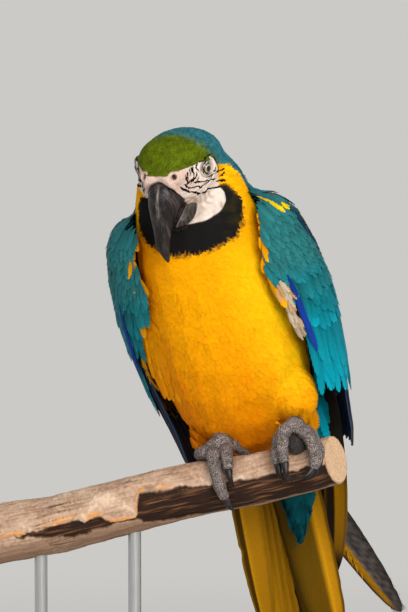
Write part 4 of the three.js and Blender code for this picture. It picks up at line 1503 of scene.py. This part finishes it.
def hanging(start, aim, outward, vane, sizes, tone, widths, rise, shadow):
    """Loose feathers that hang straight down the flank; shadow is the share of light at their roots."""
    aim = TRUNK.direction(aim)
    normal = tangent(np.tile(TRUNK.direction(outward), (len(start), 1)), aim)
    lines = straight(TRUNK.world(start) + rise[0] * MM * normal, normal, aim, sizes, 5)
    chart = beside(0.5 + start[:, 0] / 140, 0.5 + (start[:, 2] + 195) / 90)
    return feathers(vane, lines, widths, (0.0, rise[1]), (tone * shadow, tone), chart)


class MACAW_OT_flank(bpy.types.Operator):
    """Lay the turquoise feathers behind the thighs and the long yellow ones that hang from them"""

    bl_idname = "macaw.flank"
    bl_label = "Flank"

    def execute(self, context):
        shades, _, _ = settings(context)
        material = plumage_material("flank_feathers", 0.6, 0.3)
        rng = np.random.default_rng(41)
        draw = rng.uniform
        for side, name in ((1, "left"), (-1, "right")):
            count = 70
            start = beside(side * draw(40, 60, count), draw(12, 30, count), draw(-212, -178, count))
            aim = beside(side * draw(-0.12, 0.0, count), draw(0.15, 0.4, count), -1.0)
            parts = [hanging(start, aim, (0.55 * side, -0.8, 0.0), Vane(8, 0.3), draw(32, 50, count),
                             shades.turquoise * draw(0.6, 1.1, (count, 1)), draw(9, 13, count),
                             (0.0, draw(0, 1.5, count)), 0.5)]
            count = 90
            start = beside(draw(52, 67, count), draw(-48, -26, count), draw(-192, -178, count))
            if side < 0:
                start = beside(draw(-55, -38, count), draw(-36, -14, count), draw(-203, -188, count))
            aim = beside(-0.15 * side + rng.normal(0, 0.06, count), rng.normal(0.2, 0.05, count), -1.0)
            parts.append(hanging(start, aim, (0.4 * side, -0.9, 0.0), Vane(7, 0.5),
                                 draw(18, 27, count) if side > 0 else draw(12, 18, count),
                                 plumage(TRUNK.world(start), shades) * draw(0.8, 1.05, (count, 1)),
                                 draw(7, 9, count), (1.5, draw(0, 1.0, count)), 0.85))
            add_feathers(f"flank_feathers_{name}", parts, material)
        return {"FINISHED"}


def lining(face, shades, rng):
    """Yellow feathers inside the front edge of a wing."""
    heights, inward = np.meshgrid(np.arange(21, -178, -6.5), np.arange(0, 34, 3.2))
    count = heights.size
    heights = heights.ravel() + rng.normal(0, 2.0, count)
    inward = inward.ravel() + rng.normal(0, 0.8, count)
    turns = face.edge(heights) + 1 + inward
    size = rng.uniform(13, 20, count)
    lines = face.lines(heights, turns, size, rng.normal(0, 2, count))
    sink = np.minimum(0.9 * inward + 3.5, 17)
    lines[0] = lines[0] - lines[1] * (sink * MM)[:, None, None]
    lines[1] = -lines[1]
    tone = blend(shades.yellow, shades.gold, smooth(heights, -60, -150) * 0.7)
    tone = blend(tone, shades.dull, smooth(heights, 4, 9))
    # Painted shade: on the left wing the lowest lining feathers turn dark, in the gap between the wing and
    # the body.
    if face.side > 0:
        tone = blend(tone, shades.dark, smooth(heights, -118, -132))
    tone = tone * rng.uniform(0.8, 1.1, (count, 1))
    return feathers(Vane(7, 0.45), lines, rng.uniform(8, 11, count), (0.0, rng.uniform(0.5, 3.0, count)),
                    (tone * 0.8, tone), wing_chart(heights, turns), camber=0.15)


def bridge(shades, rng):
    """Yellow flank feathers over the gap between the right wing's edge and the body."""
    count = 260
    share, fall = rng.random(count), rng.uniform(-132, -52, count)
    start = beside(-73 + 21 * share, -29 - 12 * share, fall - 4 * share)
    start[:, 0] += 7 * smooth(fall, -70, -50) + 0.10 * np.maximum(0, -100 - fall)
    aim = TRUNK.direction(beside(rng.normal(0.16, 0.05, count), rng.normal(0.08, 0.04, count), -1.0))
    normal = tangent(np.tile(TRUNK.direction([-0.55, -0.83, 0.0]), (count, 1)), aim)
    lines = straight(TRUNK.world(start), normal, aim, rng.uniform(20, 28, count), 6)
    tone = blend(shades.yellow, shades.orange, rng.uniform(0.0, 0.6, count))
    tone = tone * rng.uniform(0.85, 1.05, (count, 1))
    return feathers(Vane(8, 0.5), lines, rng.uniform(8, 10.5, count), (0.5, rng.uniform(1.5, 3.5, count)),
                    (tone * 0.85, tone), beside(0.2 + 0.2 * share, 0.3 - fall / 300), camber=0.15)


def worn_patch(face, shades, rng):
    """Thin pale feathers on the worn place at the left wing's front edge."""
    heights = np.arange(-64, -112, -1.0)
    count = len(heights)
    heights = heights + rng.normal(0, 0.8, count)
    turns = -47 - 0.05 * (heights + 64) + rng.normal(0, 1.6, count)
    size = rng.uniform(12, 17, count)
    lines = face.lines(heights, turns, size, rng.normal(1.5, 1.3, count))
    tone = blend(shades.quill, shades.yellow, 0.5 * (rng.random(count) < 0.3))
    tone = tone * rng.uniform(0.5, 1.0, (count, 1))
    return feathers(Vane(8, 0.8), lines, rng.uniform(3.5, 5.5, count), (0.0, rng.uniform(0.5, 2.5, count)),
                    (tone * 0.8, tone), wing_chart(heights, turns), camber=0.1)


class MACAW_OT_wing_lining(bpy.types.Operator):
    """Lay the yellow feathers inside the front edge of each wing, and the worn patch on the left one"""

    bl_idname = "macaw.wing_lining"
    bl_label = "Wing lining"

    def execute(self, context):
        shades, _, _ = settings(context)
        material = plumage_material("lining_feathers", 0.65, 0.25)
        for side in WING:
            face, rng = WingFace(side), np.random.default_rng(27)
            parts = [lining(face, shades, rng)]
            parts.append(worn_patch(face, shades, rng) if side == "left" else bridge(shades, rng))
            add_feathers(f"wing_{side}_lining", parts, material)
        return {"FINISHED"}


class MACAW_OT_mantle(bpy.types.Operator):
    """Lay the larger feathers of the upper back over the tops of the wings"""

    bl_idname = "macaw.mantle"
    bl_label = "Mantle"

    def execute(self, context):
        shades, _, _ = settings(context)
        rng = np.random.default_rng(31)
        shell = fused(["neck", "trunk", "wing_left_coverts", "wing_right_coverts"], 3.0, swell=2.6, relax=14)
        shell.push(2.2)
        spots, _ = shell.scatter(9000, rng)
        aside, back, height = TRUNK.local(spots).T
        mine = (height < 34) & (height > -92 + 0.3 * np.abs(aside)) & (np.abs(aside) < 76)
        brink = np.maximum(12 - 0.5 * np.maximum(height, -60), 5)
        mine &= back > np.where(np.abs(aside) > 57, brink - 12 * smooth(height, -12, 6), brink)
        mine &= (aside > -52) | (height < 9)
        mine &= (aside < 55) | (back > 24) | (height < -16)
        spots = spots[mine]
        spots = spots[thinned(spots, 6.5, rng)]
        aside, back, height = TRUNK.local(spots).T
        count = len(spots)
        size = rng.uniform(22, 28, count)

        def heading(points):
            flare = np.clip(TRUNK.local(points)[:, 0] / 120, -0.6, 0.6)
            return TRUNK.direction(beside(flare, 0.1, -1.0))

        lines = lines_over(shell, spots, heading, size, rings=5)
        tone = blend(shades.nape, shades.mantle, smooth(height, 34, 5))
        tone = blend(tone, shades.teal, 0.5 * smooth(np.abs(aside), 40, 70))
        tone = tone * rng.uniform(0.85, 1.12, (count, 1))
        chart = beside(0.5 + aside / 190, 0.7 + height / 190)
        # Darker roots: partly painted shade under the feathers above.
        parts = [feathers(Vane(8, 0.25), lines, rng.uniform(11, 14, count),
                          (-1.6, rng.uniform(-0.2, 0.4, count)), (tone * 0.6, tone), chart,
                          camber=0.12, roundness=0.3)]
        material = plumage_material("mantle_feathers", 0.6, 0.3)
        add_feathers("mantle_feathers", parts, material)
        return {"FINISHED"}


def quill(spots, normals, aims, widths, tones, thick=1.0, lopsided=0.0, seed=0):
    """A long feather as a thin closed blade with a shaft and slightly uneven webs.

    tones are the colours of the left web, right web and rim above, then of the same below and of the
    shaft below; lopsided moves the shaft across, as a share of the width.
    """
    rng = np.random.default_rng(seed)
    stations, columns = len(spots), 13
    across = np.linspace(-1, 1, columns)
    notch = 1 - 0.03 * rng.random((stations, 2)) - 0.08 * (rng.random((stations, 2)) < 0.05)
    side = np.cross(normals, aims)
    reach = np.where(across[None, :] > 0, notch[:, :1], notch[:, 1:]) * across[None, :]
    off = lopsided * (1 - np.abs(across))
    shaft = np.exp(-(across / 0.09) ** 2)
    rim = smooth(np.abs(across), 0.62, 0.9)[:, None]
    right = smooth(across, -0.04, 0.04)[:, None]
    points, colours, facing = [], [], []
    for layer, (first, second, edge) in ((1, tones[:3]), (-1, tones[3:6])):
        height = -0.10 * widths[:, None] * across ** 2
        height = height + layer * thick * (0.5 - 0.45 * np.abs(across) + 0.5 * shaft)
        move = (reach + off) * widths[:, None] * MM
        lifted = spots[:, None] + normals[:, None] * (height * MM)[..., None]
        points.append(lifted + side[:, None] * move[..., None])
        web = np.array(first) * (1 - right) + np.array(second) * right
        web = web * (1 - rim) + np.array(edge) * rim
        stem = np.array(first) * 0.4 if layer > 0 else np.array(tones[6])
        web = web * (1 - 0.85 * shaft[:, None]) + stem * 0.85 * shaft[:, None]
        length = 1 + 0.10 * np.sin(np.linspace(0, 9, stations) + seed)[:, None, None]
        colours.append(web[None] * length)
        facing.append(layer * normals[:, None] + 0.22 * across[None, :, None] * side[:, None])
    triangles = []
    sheet = stations * columns
    for k in range(stations - 1):
        for c in range(columns - 1):
            a, b = k * columns + c, k * columns + c + 1
            d, e = a + columns, b + columns
            below = sheet + a, sheet + b, sheet + d, sheet + e
            triangles += [(a, d, b), (b, d, e), below[:3], (below[1], below[3], below[2])]
        for c, flip in ((0, 0), (columns - 1, 1)):
            a, d = k * columns + c, (k + 1) * columns + c
            faces = [(a, sheet + a, d), (sheet + a, sheet + d, d)]
            triangles += [face[::-1] if flip else face for face in faces]
    grid = np.stack(np.meshgrid((across + 1) / 2, np.linspace(0, 1, stations)), -1).reshape(-1, 2)
    flat = [np.concatenate([part.reshape(-1, 3) for part in rows]) for rows in (points, colours, facing)]
    return flat[0], np.array(triangles), flat[1], np.concatenate([grid, grid]), unit(flat[2])


def quill_widths(stations, width, root=0.3, tip=4.0):
    """Half widths along a long feather: narrow at the root and rounded at the tip."""
    share = np.linspace(0, 1, stations)
    swell = root + (1 - root) * np.minimum(1, share / 0.25)
    return width / 2 * swell * np.sqrt(np.maximum(0.0, 1 - share ** tip)) + 0.05


def add_quills(name, quills, material):
    """Several quills as one piece, each on its own cell of the map, above and below side by side."""
    columns = math.ceil(math.sqrt(len(quills)))
    parts = []
    for k, (points, triangles, colours, vane, facing) in enumerate(quills):
        shift = np.repeat([[0.02, 0.02], [0.52, 0.02]], len(points) // 2, axis=0)
        cell = (k % columns, k // columns)
        maps = {"OFBake": (vane * (0.46, 0.96) + shift + cell) / columns, "Vane": vane}
        parts.append((points, triangles, colours, maps, facing))
    return add_feathers(name, parts, material, own_normals=False)


def frayed(spots, normal, aim, wide, gold, shades):
    """A worn tail feather: its outer web grey, with barbs that have come apart, its inner web yellow."""
    rng = np.random.default_rng(71)
    grey = shades.worn
    widths = quill_widths(len(spots), wide, root=0.45, tip=3.0)
    tones = (gold * 0.6, grey * 0.25, grey * 0.2, grey * 0.30, gold * 0.9, grey * 0.12, grey * 0.6)
    aims = np.tile(aim, (len(spots), 1))
    base = list(quill(spots, np.tile(normal[0], (len(spots), 1)), aims, widths, tones, 0.8, 0.3, seed=72))
    side, far = base[3][:, 0] * 2 - 1, base[3][:, 1]
    barb = np.sin(150 * far - 9 * np.abs(side) + rng.normal(0, 0.7, len(far)))
    dusk = smooth(side, 0.1, -0.1) * 0.4 + 0.1
    # Barbs drawn across the webs; towards the root both webs fade to near black, painted shade where the
    # feather runs under the coverts.
    base[2] = base[2] * ((1 + barb * dusk) * (0.1 + 0.9 * smooth(far, 0.3, 0.45)))[:, None]
    base[2] = blend(base[2], grey * 0.2, 0.8 * smooth(far, 0.92, 0.98))
    base[3] = {"OFBake": 0.02 + 0.96 * base[3], "Vane": base[3]}
    vane = Vane(110, 0.35, lead=6.0, tip=3.0)
    outer = vane.across > 0.2
    vane.across = vane.across * np.where(np.abs(vane.across) > 0.2, rng.uniform(0.75, 1.05, len(outer)), 1)
    rings = np.linspace(0, len(spots) - 1, 12).astype(int)
    lines = [spots[None, rings], normal[None, rings], aims[None, rings]]
    centre = np.array([[0.5, 0.5]])
    mesh = list(feathers(vane, lines, wide * 1.02, (0.4, 0.4), (1.0, 1.0), centre, camber=0.1))
    worn = grey * rng.uniform(0.06, 0.62, (len(outer), 1))
    yellow = gold * rng.uniform(0.5, 1.3, (len(outer), 1))
    wear = np.maximum(smooth(vane.across, -0.12, 0.06), smooth(vane.along, 0.88, 0.94))
    mesh[2] = blend(yellow, worn, wear)
    # Painted shade: near black towards the root, under the coverts.
    mesh[2] = mesh[2] * (0.1 + 0.9 * smooth(vane.along, 0.3, 0.45))[:, None]
    return [base, mesh]


def bezier(start, middle, end, share):
    """Places on a smooth bend from start to end that leans towards the middle."""
    share = share[:, None]
    return (1 - share) ** 2 * start + 2 * share * (1 - share) * middle + share ** 2 * end


# The long primaries of a wing, in its frame: the first one's root, bend and tip, and the step to the next.
PRIMARIES = [(55, 36, -150), (46, 37, -280), (-4, 38, -400), (4, 5, 26)]
PRIMARY_COUNT = 6


def secondaries(side, blue, olive):
    """The secondaries of one wing, closed like a fan over its lower half."""
    face, stations = WingFace(side), 26
    tones = (blue * 0.5, blue, blue * 0.8, olive, blue * 0.5, blue * 0.7, olive * 2)
    inner_tones = (olive * 0.8, olive * 1.1, blue * 0.55, olive, blue * 0.5, blue * 0.7, olive * 2)
    quills = []
    for k in range(11 if side == "left" else 15):
        share = k / 10 if side == "left" else (k - 4) / 10
        heights = np.linspace(-118, -250 + 14 * share ** 2, stations)
        turns = np.full(stations, 4 + 74 * share)
        line = face.places(heights, turns, rise=-3.5 - 0.25 * k)
        normal, aims = face.normals(heights, turns), unit(np.gradient(line, axis=0))
        normal = tangent(normal + 0.10 * np.cross(normal, aims) * face.side, aims)
        style = inner_tones if share < 0.25 else tones
        quills.append(quill(line, normal, aims, quill_widths(stations, 24), style, seed=k))
    return quills


def primaries(wing, blue, olive, shades):
    """The long primaries of one wing, the first one golden below."""
    gold, dark, stations = shades.gold, olive * 0.8, 34
    trim = blend(blue, shades.turquoise, 0.5) * 0.8
    tip_tones = (blue * 0.2, blue * 0.45, trim, olive, olive * 0.7, blue * 0.3, olive * 2)
    bronze = blend(shades.dark, gold, 0.4)
    long_tones = (blue * 0.4, blue * 0.8, blue * 0.5, gold, dark, bronze, gold * 1.3)
    quills = []
    for k in range(PRIMARY_COUNT):
        root, bend, tip, step = np.array(PRIMARIES)
        step = step * (k * 0.7)
        line = bezier(root + step * 0.3, bend + step * 0.5, tip + step, np.linspace(0, 1, stations))
        aims = wing.direction(np.gradient(line, axis=0))
        normal = tangent(np.tile(wing.direction([0.6, 0.8, 0.0]), (stations, 1)), aims)
        widths = quill_widths(stations, 31 if k else 37, tip=5)
        style = tip_tones if k else long_tones
        blade = list(quill(wing.world(line), normal, aims, widths, style, seed=20 + k))
        if k == 0:
            far = blade[3][:, 1:]
            golden = smooth(far, 0.52, 0.62) * smooth(far, 0.95, 0.86)
            blade[2] = dark * (1 - golden) + blade[2] * golden
        quills.append(blade)
    return quills


class MACAW_OT_flight_feathers(bpy.types.Operator):
    """Make the secondaries and primaries of both wings"""

    bl_idname = "macaw.flight_feathers"
    bl_label = "Flight feathers"

    def execute(self, context):
        shades, _, _ = settings(context)
        material = plumage_material("flight_feathers", 0.42, 0.45)
        blue, olive = shades.blue, blend(shades.dark, shades.gold, 0.06)
        for side, wing in WING.items():
            quills = secondaries(side, blue, olive)
            piece = add_quills(f"wing_{side}_secondary_feathers", quills, material)
            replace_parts(piece, f"wing_{side}_secondaries")
            quills = primaries(wing, blue, olive, shades)
            piece = add_quills(f"wing_{side}_primary_feathers", quills, material)
            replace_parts(piece, f"wing_{side}_primaries")
        return {"FINISHED"}


# ---- tail

def node_points(name):
    """Points of a CAD node, in metres."""
    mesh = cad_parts[name].data
    points = np.empty(len(mesh.vertices) * 3)
    mesh.vertices.foreach_get("co", points)
    return points.reshape(-1, 3)


def tail_feather(side, k, material, shades):
    """One tail feather as a piece, laid along its CAD node."""
    node, name = f"tail_{side}_{k}", f"tail_feather_{side}_{k}"
    points = node_points(node)
    height = TRUNK.local(points)[:, 2]
    tip = points[height.argmin()]
    span = height.max() - height.min()
    band = points[(height < height.min() + 0.55 * span) & (height > height.min() + 0.35 * span)]
    aim = unit(tip - band.mean(0))
    stations = 40
    reach = max(np.linalg.norm(tip - p) for p in points)
    run = (1 - np.linspace(0, 1, stations))[:, None]
    back = TRUNK.direction([0.0, 1.0, 0.0])
    normal = np.repeat(tangent(back[None], aim[None]), stations, 0)
    across = np.cross(normal[0], aim)
    wide = np.ptp(points @ across) / MM
    blue, gold = shades.blue, shades.gold
    if node == "tail_left_6":
        aim = unit(aim - 0.14 * across)
        tip = tip + (9 * aim + 27 * back) * MM
        normal = tangent(normal, np.tile(aim, (stations, 1)))
        blades = frayed(tip - aim * run * reach, normal, aim, 36, gold, shades)
        return add_feathers(name, blades, material)
    olive = gold * (0.20, 0.22, 0.4)
    inward = 1 if side == "left" else -1
    spread = 1 + 0.10 * k if side == "left" else 1.04
    spots = tip - aim * run * reach + across * inward * (spread - 1) * wide / 2 * MM
    webs = (gold * 1.2, olive * 1.5) if side == "left" else (gold, olive * 0.7)
    rim = webs[1] * 0.7 if side == "left" else gold * 0.6
    upper = (blue, blue * 0.7) if side == "left" else (blue * 0.7, blue)
    tones = (*upper, blue * 0.5, *webs, rim, gold * 1.6)
    widths = quill_widths(stations, wide * spread, tip=3.0)
    blade = quill(spots, normal, np.tile(aim, (stations, 1)), widths, tones, 1.2, -0.45 * inward, seed=60 + k)
    return add_quills(name, [blade], material)


def tail_covers(name, material, shades, rng):
    """The coverts under or over the tail's root as one piece."""
    node = f"tail_coverts_{name}"
    form = fused([node], 2.0, swell=0.3, relax=2)
    spots, normals = form.scatter(2500, rng)
    kept = thinned(spots, 5.5, rng)
    spots, normals = spots[kept], normals[kept]
    facing = normals @ TRUNK.direction([0.0, 1.0, 0.0])
    spots = spots[facing < 0.2 if name == "under" else facing > -0.2]
    size = rng.uniform(26, 36, len(spots))
    low = TRUNK.local(node_points(node))[:, 2].min()
    place = TRUNK.local(spots)
    size = np.minimum(size, np.maximum(place[:, 2] - low, 6))
    down = TRUNK.direction([0.0, 0.0, -1.0])
    lines = lines_over(form, spots, lambda p: np.tile(down, (len(p), 1)), size, rings=6, hold=0.9)
    # Painted shade: the coverts under the tail are a darker teal; their roots are darker still, partly
    # painted shade under the feathers above.
    tone = shades.teal * 0.4 if name == "under" else shades.turquoise
    tone = tone * rng.uniform(0.7, 1.1, (len(spots), 1))
    chart = beside(0.5 + place[:, 0] / 90, 0.05 + 0.9 * (place[:, 2] - low) / 170)
    lift = (-1.0, rng.uniform(0.2, 1.0, len(spots)))
    vane = Vane(8, 0.2, tip=2.4)
    mesh = list(feathers(vane, lines, size * 0.42, lift, (tone * 0.4, tone), chart, camber=0.12))
    if name == "under":
        lean = 3 + 13 * np.clip((TRUNK.local(mesh[0])[:, 2] - low) / 50, 0, 1)
        mesh[0] = mesh[0] + lean[:, None] * TRUNK.direction([1.0, 0.0, 0.0]) * MM
    return add_feathers(f"tail_covert_feathers_{name}", [mesh], material)


class MACAW_OT_tail(bpy.types.Operator):
    """Make the tail feathers and the coverts over their roots"""

    bl_idname = "macaw.tail"
    bl_label = "Tail"

    def execute(self, context):
        shades, _, _ = settings(context)
        material = plumage_material("tail_feathers", 0.45, 0.45)
        for side in FEET:
            for k in range(1, 7):
                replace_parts(tail_feather(side, k, material, shades), f"tail_{side}_{k}")
        material = plumage_material("tail_coverts", 0.5, 0.35)
        rng = np.random.default_rng(33)
        for name in ("under", "upper"):
            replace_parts(tail_covers(name, material, shades, rng), f"tail_coverts_{name}")
        return {"FINISHED"}


# ---- branch and stand

def wood_material():
    """Weathered bark and bare wood, pale above with painted shade below, and dark in the cracks, partly
    painted shade.
    """
    look = Surface("branch_wood", Specular_IOR_Level=0.25)
    turn = (0, math.radians(-14.4), math.radians(-15))
    fibre = look.noise(look.place((0.03, 0.0022, 0.0022), turn), 1.0, 6.0, 0.65)
    blotch = look.noise(look.place((0.05, 0.02, 0.02), turn), 1.0, 4.0)
    speck = look.noise(look.place(), 700.0, 4.0, 0.7)
    tone = look.toned(0.50 + 0.4 * fibre + 0.25 * blotch + 0.45 * speck)
    relief = look.bump(fibre + speck * 0.6, 0.6, 0.0010)
    return look.set(Base_Color=tone, Roughness=0.75 + 0.2 * fibre, Normal=relief)


# The long split in the bark: place along the branch, and upper and lower edge in degrees up from the front.
SPLIT = [
    (-226, -7, -8), (-200, -2, -22), (-165, 1, -36), (-137, -4, -30), (-126, -21, -27), (-106, -24, -33),
    (-98, 25, -48), (-70, 23, -68), (-30, 14, -72), (20, 6, -74), (95, 2, -76),
]


class MACAW_OT_branch(bpy.types.Operator):
    """Make the cut branch with its bark, its long split and its sawn ends"""

    bl_idname = "macaw.branch"
    bl_label = "Branch"

    def execute(self, context):
        shell = fused(["perch_branch"], 1.0, swell=0.3, relax=1)
        place = PERCH.local(shell.points)
        turn = np.arctan2(place[:, 2], -place[:, 1])
        radius = np.hypot(place[:, 1], place[:, 2])
        low, high = place[:, 0].min(), place[:, 0].max()
        side = smooth(np.abs(shell.normals @ PERCH.direction([1.0, 0, 0])), 0.7, 0.5)
        long_way = beside(place[:, 0] / 60, 6.0 * np.cos(turn), 6.0 * np.sin(turn)) * MM
        ridge, fibre = grain(long_way, 1.0, 2.0), grain(long_way * 3.1, 1.0, 5.0)
        lump, rough = grain(shell.points, 22, 4.0), grain(shell.points, 3.2, 8.0)
        along, above, below = np.array(SPLIT).T
        angle = np.degrees(turn) + 7 * grain(shell.points, 12, 14.0) + 3 * rough
        upper = np.interp(place[:, 0], along, above) - angle
        lower = angle - np.interp(place[:, 0], along, below)
        split = smooth(np.minimum(upper, lower), -1.0, 4.0)
        lip = ripple(upper + 5, 4.0) * (lower > 0) * smooth(place[:, 0], -50, -90)
        crack = smooth(np.abs(ridge), 0.07, 0.0) * smooth(grain(shell.points, 40, 6.0), -0.1, 0.25)
        clear = smooth(np.minimum(np.abs(place[:, 0] + 23), np.abs(place[:, 0] - 42)), 18, 34)
        lift = 0.8 * lump - 1.4 * crack * (1 - split) + 0.3 * rough + 0.3 * fibre + 0.9 * lip
        lift = lift - split * (2.4 - 1.1 * np.abs(fibre) - 0.9 * ridge)
        shell.push(side * lift * (0.35 + 0.65 * clear) - 0.25 * side)
        bark = blend(colour("#C4A48C"), colour("#A08068"), smooth(fibre + rough, -0.5, 0.6))
        bark = blend(bark, colour("#DCC0A8"), smooth(lump + 0.6 * rough, 0.15, 0.7))
        # Painted shade: the underside of the branch is darker.
        bark = blend(bark, colour("#8A6A54"), smooth(place[:, 2], -4, -18) * 0.8)
        # Dark brown in the cracks: partly the bark's own colour, partly painted shade.
        tone = blend(bark, colour("#3A2418"), 0.9 * crack)
        # Inside the split: dark wood, partly its own colour, partly painted shade of the hollow.
        inner = blend(colour("#2A180E"), colour("#7A5236"), smooth(fibre + 0.5 * ridge, 0.0, 0.9))
        tone = blend(tone, inner, split)
        torn = blend(colour("#D98A3C"), colour("#E8C08A"), smooth(fibre, -0.2, 0.5))
        tone = blend(tone, torn, 0.9 * lip * smooth(grain(shell.points, 16, 17.0), -0.45, 0.0))
        radial = np.abs(np.sin(2.5 * turn + 0.5 * lump)) < 0.03
        rings = 0.5 + 0.5 * np.sin(radius * 2.2 + 2.2 * lump)
        sawn = blend(colour("#DDBB98"), colour("#C39C78"), 0.55 * rings + 0.4 * smooth(rough, -0.3, 0.6))
        sawn = blend(sawn, colour("#8A6144"), 0.6 * radial * smooth(radius, 3, 8))
        sawn = blend(sawn, colour("#7B5A42"), smooth(radius, 19.5, 22.5) * 0.7)
        ends = (1 - side) * np.where((place[:, 0] > high - 14) | (place[:, 0] < low + 6), 1, 0)
        tone = blend(tone, sawn, ends)
        piece = add_piece("branch", shell.points, shell.triangles, wood_material(), tone)
        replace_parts(piece, "perch_branch")
        return {"FINISHED"}


class MACAW_OT_stand(bpy.types.Operator):
    """Finish the stand's base and rods"""

    bl_idname = "macaw.stand"
    bl_label = "Stand"

    def execute(self, context):
        paint = Surface("stand_paint", Specular_IOR_Level=0.45, Coat_Weight=0.1)
        fleck = paint.noise(paint.place(), 900.0, 4.0)
        tone = paint.mix(fleck, colour("#1D1D1F"), colour("#2A2A2C"))
        relief = paint.bump(fleck, 0.12, 0.0003)
        paint.set(Base_Color=tone, Roughness=0.4 + 0.15 * fleck, Normal=relief)
        steel = Surface("stand_steel", Metallic=1.0)
        brush = steel.noise(steel.place((0.0006, 0.0006, 0.02)), 1.0, 3.0)
        tone = steel.mix(brush, colour("#B5B7B9"), colour("#D2D3D4"))
        relief = steel.bump(brush, 0.1, 0.0002)
        steel.set(Base_Color=tone, Roughness=0.28 + 0.18 * brush, Normal=relief)
        for name, look in (("stand_rod_1", steel), ("stand_rod_2", steel), ("stand_base", paint)):
            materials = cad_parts[name].data.materials
            materials.clear()
            materials.append(look.material)
        return {"FINISHED"}


# ---- stage

def background_light(look, lit, output, tone, share=None):
    """Shows a plain colour to the camera, to gloss and through glass, and the lit surface to the rest."""
    camera, gloss, glass = (look.node("ShaderNodeLightPath", output=f"Is {ray} Ray")
                            for ray in ("Camera", "Glossy", "Transmission"))
    seen = camera + gloss + glass
    if share is not None:
        seen = seen * share
    sky = output.bl_idname == "ShaderNodeOutputWorld"
    plain = look.node("ShaderNodeBackground" if sky else "ShaderNodeEmission", {}, {"Color": tone})
    either = look.node("ShaderNodeMixShader", {}, {0: seen, 1: Value(look, lit), 2: plain})
    look.feed(output.inputs[0], either)


# The camera, in metres and millimetres of lens and sensor, and the lamps: place, size and tint.
CAMERA = {"at": (-0.0414, -2.5901, 0.8387), "aim": (-0.0414, 0, 0.6121), "lens": 169.94, "sensor": 36}
LAMPS = {
    "key": ((0.75, -2.7, 1.9), 1.5, (1.0, 0.97, 0.92)),
    "fill": ((-1.3, -2.2, 2.0), 0.9, (0.93, 0.96, 1.0)),
}


class MACAW_OT_stage(bpy.types.Operator):
    """Set the floor, the soft light and the camera"""

    bl_idname = "macaw.stage"
    bl_label = "Stage"

    def execute(self, context):
        _, _, stage = settings(context)
        scene = context.scene
        disc = bmesh.new()
        bmesh.ops.create_circle(disc, cap_ends=True, segments=96, radius=30)
        floor = bpy.data.meshes.new("floor")
        disc.to_mesh(floor)
        disc.free()
        ground = bpy.data.objects.new("floor", floor)
        look = Surface("floor", Roughness=0.9, Specular_IOR_Level=0.1)
        fleck = look.noise(look.place(), 3.0, 2.0)
        look.set(Base_Color=look.mix(fleck, stage.floor, tuple(0.97 * c for c in stage.floor)))
        far = look.node("ShaderNodeVectorMath", {"operation": "LENGTH"}, {0: look.place()}, 1).ramp(0.5, 2.2)
        output = look.tree.nodes["Material Output"]
        background_light(look, look.shader.outputs[0], output, stage.backdrop, far)
        floor.materials.append(look.material)
        scene.collection.objects.link(ground)
        world = bpy.data.worlds.new("studio")
        world.use_nodes = True
        tree = world.node_tree
        sky = tree.nodes["Background"]
        sky.inputs["Color"].default_value = (1.0, 0.985, 0.96, 1)
        sky.inputs["Strength"].default_value = stage.sky
        background_light(Tree(tree), sky.outputs[0], tree.nodes["World Output"], stage.backdrop)
        scene.world = world
        aim = Vector(TRUNK.world([0, 0, -60]))
        for name, (place, size, tint) in LAMPS.items():
            lamp = bpy.data.lights.new(name, "AREA")
            lamp.size = size
            lamp.energy = getattr(stage, name)
            lamp.color = tint
            holder = bpy.data.objects.new(name, lamp)
            holder.location = place
            holder.rotation_euler = (aim - Vector(place)).to_track_quat("-Z", "Y").to_euler()
            scene.collection.objects.link(holder)
        camera = bpy.data.cameras.new("camera")
        camera.sensor_fit = "VERTICAL"
        camera.sensor_height = CAMERA["sensor"]
        camera.lens = CAMERA["lens"]
        eye = bpy.data.objects.new("camera", camera)
        eye.location = CAMERA["at"]
        eye.rotation_euler = (Vector(CAMERA["aim"]) - eye.location).to_track_quat("-Z", "Y").to_euler()
        camera.clip_end = 60
        scene.collection.objects.link(eye)
        scene.camera = eye
        scene.view_settings.view_transform = "Standard"
        return {"FINISHED"}


# ---- panel and run

STEPS = [
    MACAW_OT_stage, MACAW_OT_skin, MACAW_OT_small_feathers, MACAW_OT_face_lines, MACAW_OT_eyes, MACAW_OT_bill,
    MACAW_OT_claws, MACAW_OT_wing_coverts, MACAW_OT_wing_lining, MACAW_OT_flank, MACAW_OT_mantle,
    MACAW_OT_flight_feathers, MACAW_OT_tail, MACAW_OT_branch, MACAW_OT_stand,
]
GROUPS = {"macaw_colours": MacawColours, "macaw_sizes": MacawSizes, "macaw_stage": MacawStage}


class MACAW_PT_panel(bpy.types.Panel):
    """Steps and settings of the macaw"""

    bl_label = "Macaw"
    bl_idname = "MACAW_PT_panel"
    bl_space_type = "VIEW_3D"
    bl_region_type = "UI"
    bl_category = "Macaw"

    def draw(self, context):
        for step in STEPS:
            self.layout.operator(step.bl_idname)
        for label, group in GROUPS.items():
            box = self.layout.box()
            for name in group.__annotations__:
                box.prop(getattr(context.scene, label), name)


def register():
    for label, group in GROUPS.items():
        bpy.utils.register_class(group)
        setattr(bpy.types.Scene, label, bpy.props.PointerProperty(type=group))
    for step in (*STEPS, MACAW_PT_panel):
        bpy.utils.register_class(step)


def unregister():
    for step in (MACAW_PT_panel, *reversed(STEPS)):
        bpy.utils.unregister_class(step)
    for label, group in GROUPS.items():
        delattr(bpy.types.Scene, label)
        bpy.utils.unregister_class(group)


def main():
    register()
    for step in STEPS:
        family, action = step.bl_idname.split(".")
        getattr(getattr(bpy.ops, family), action)()


if __name__ == "__main__":
    main()
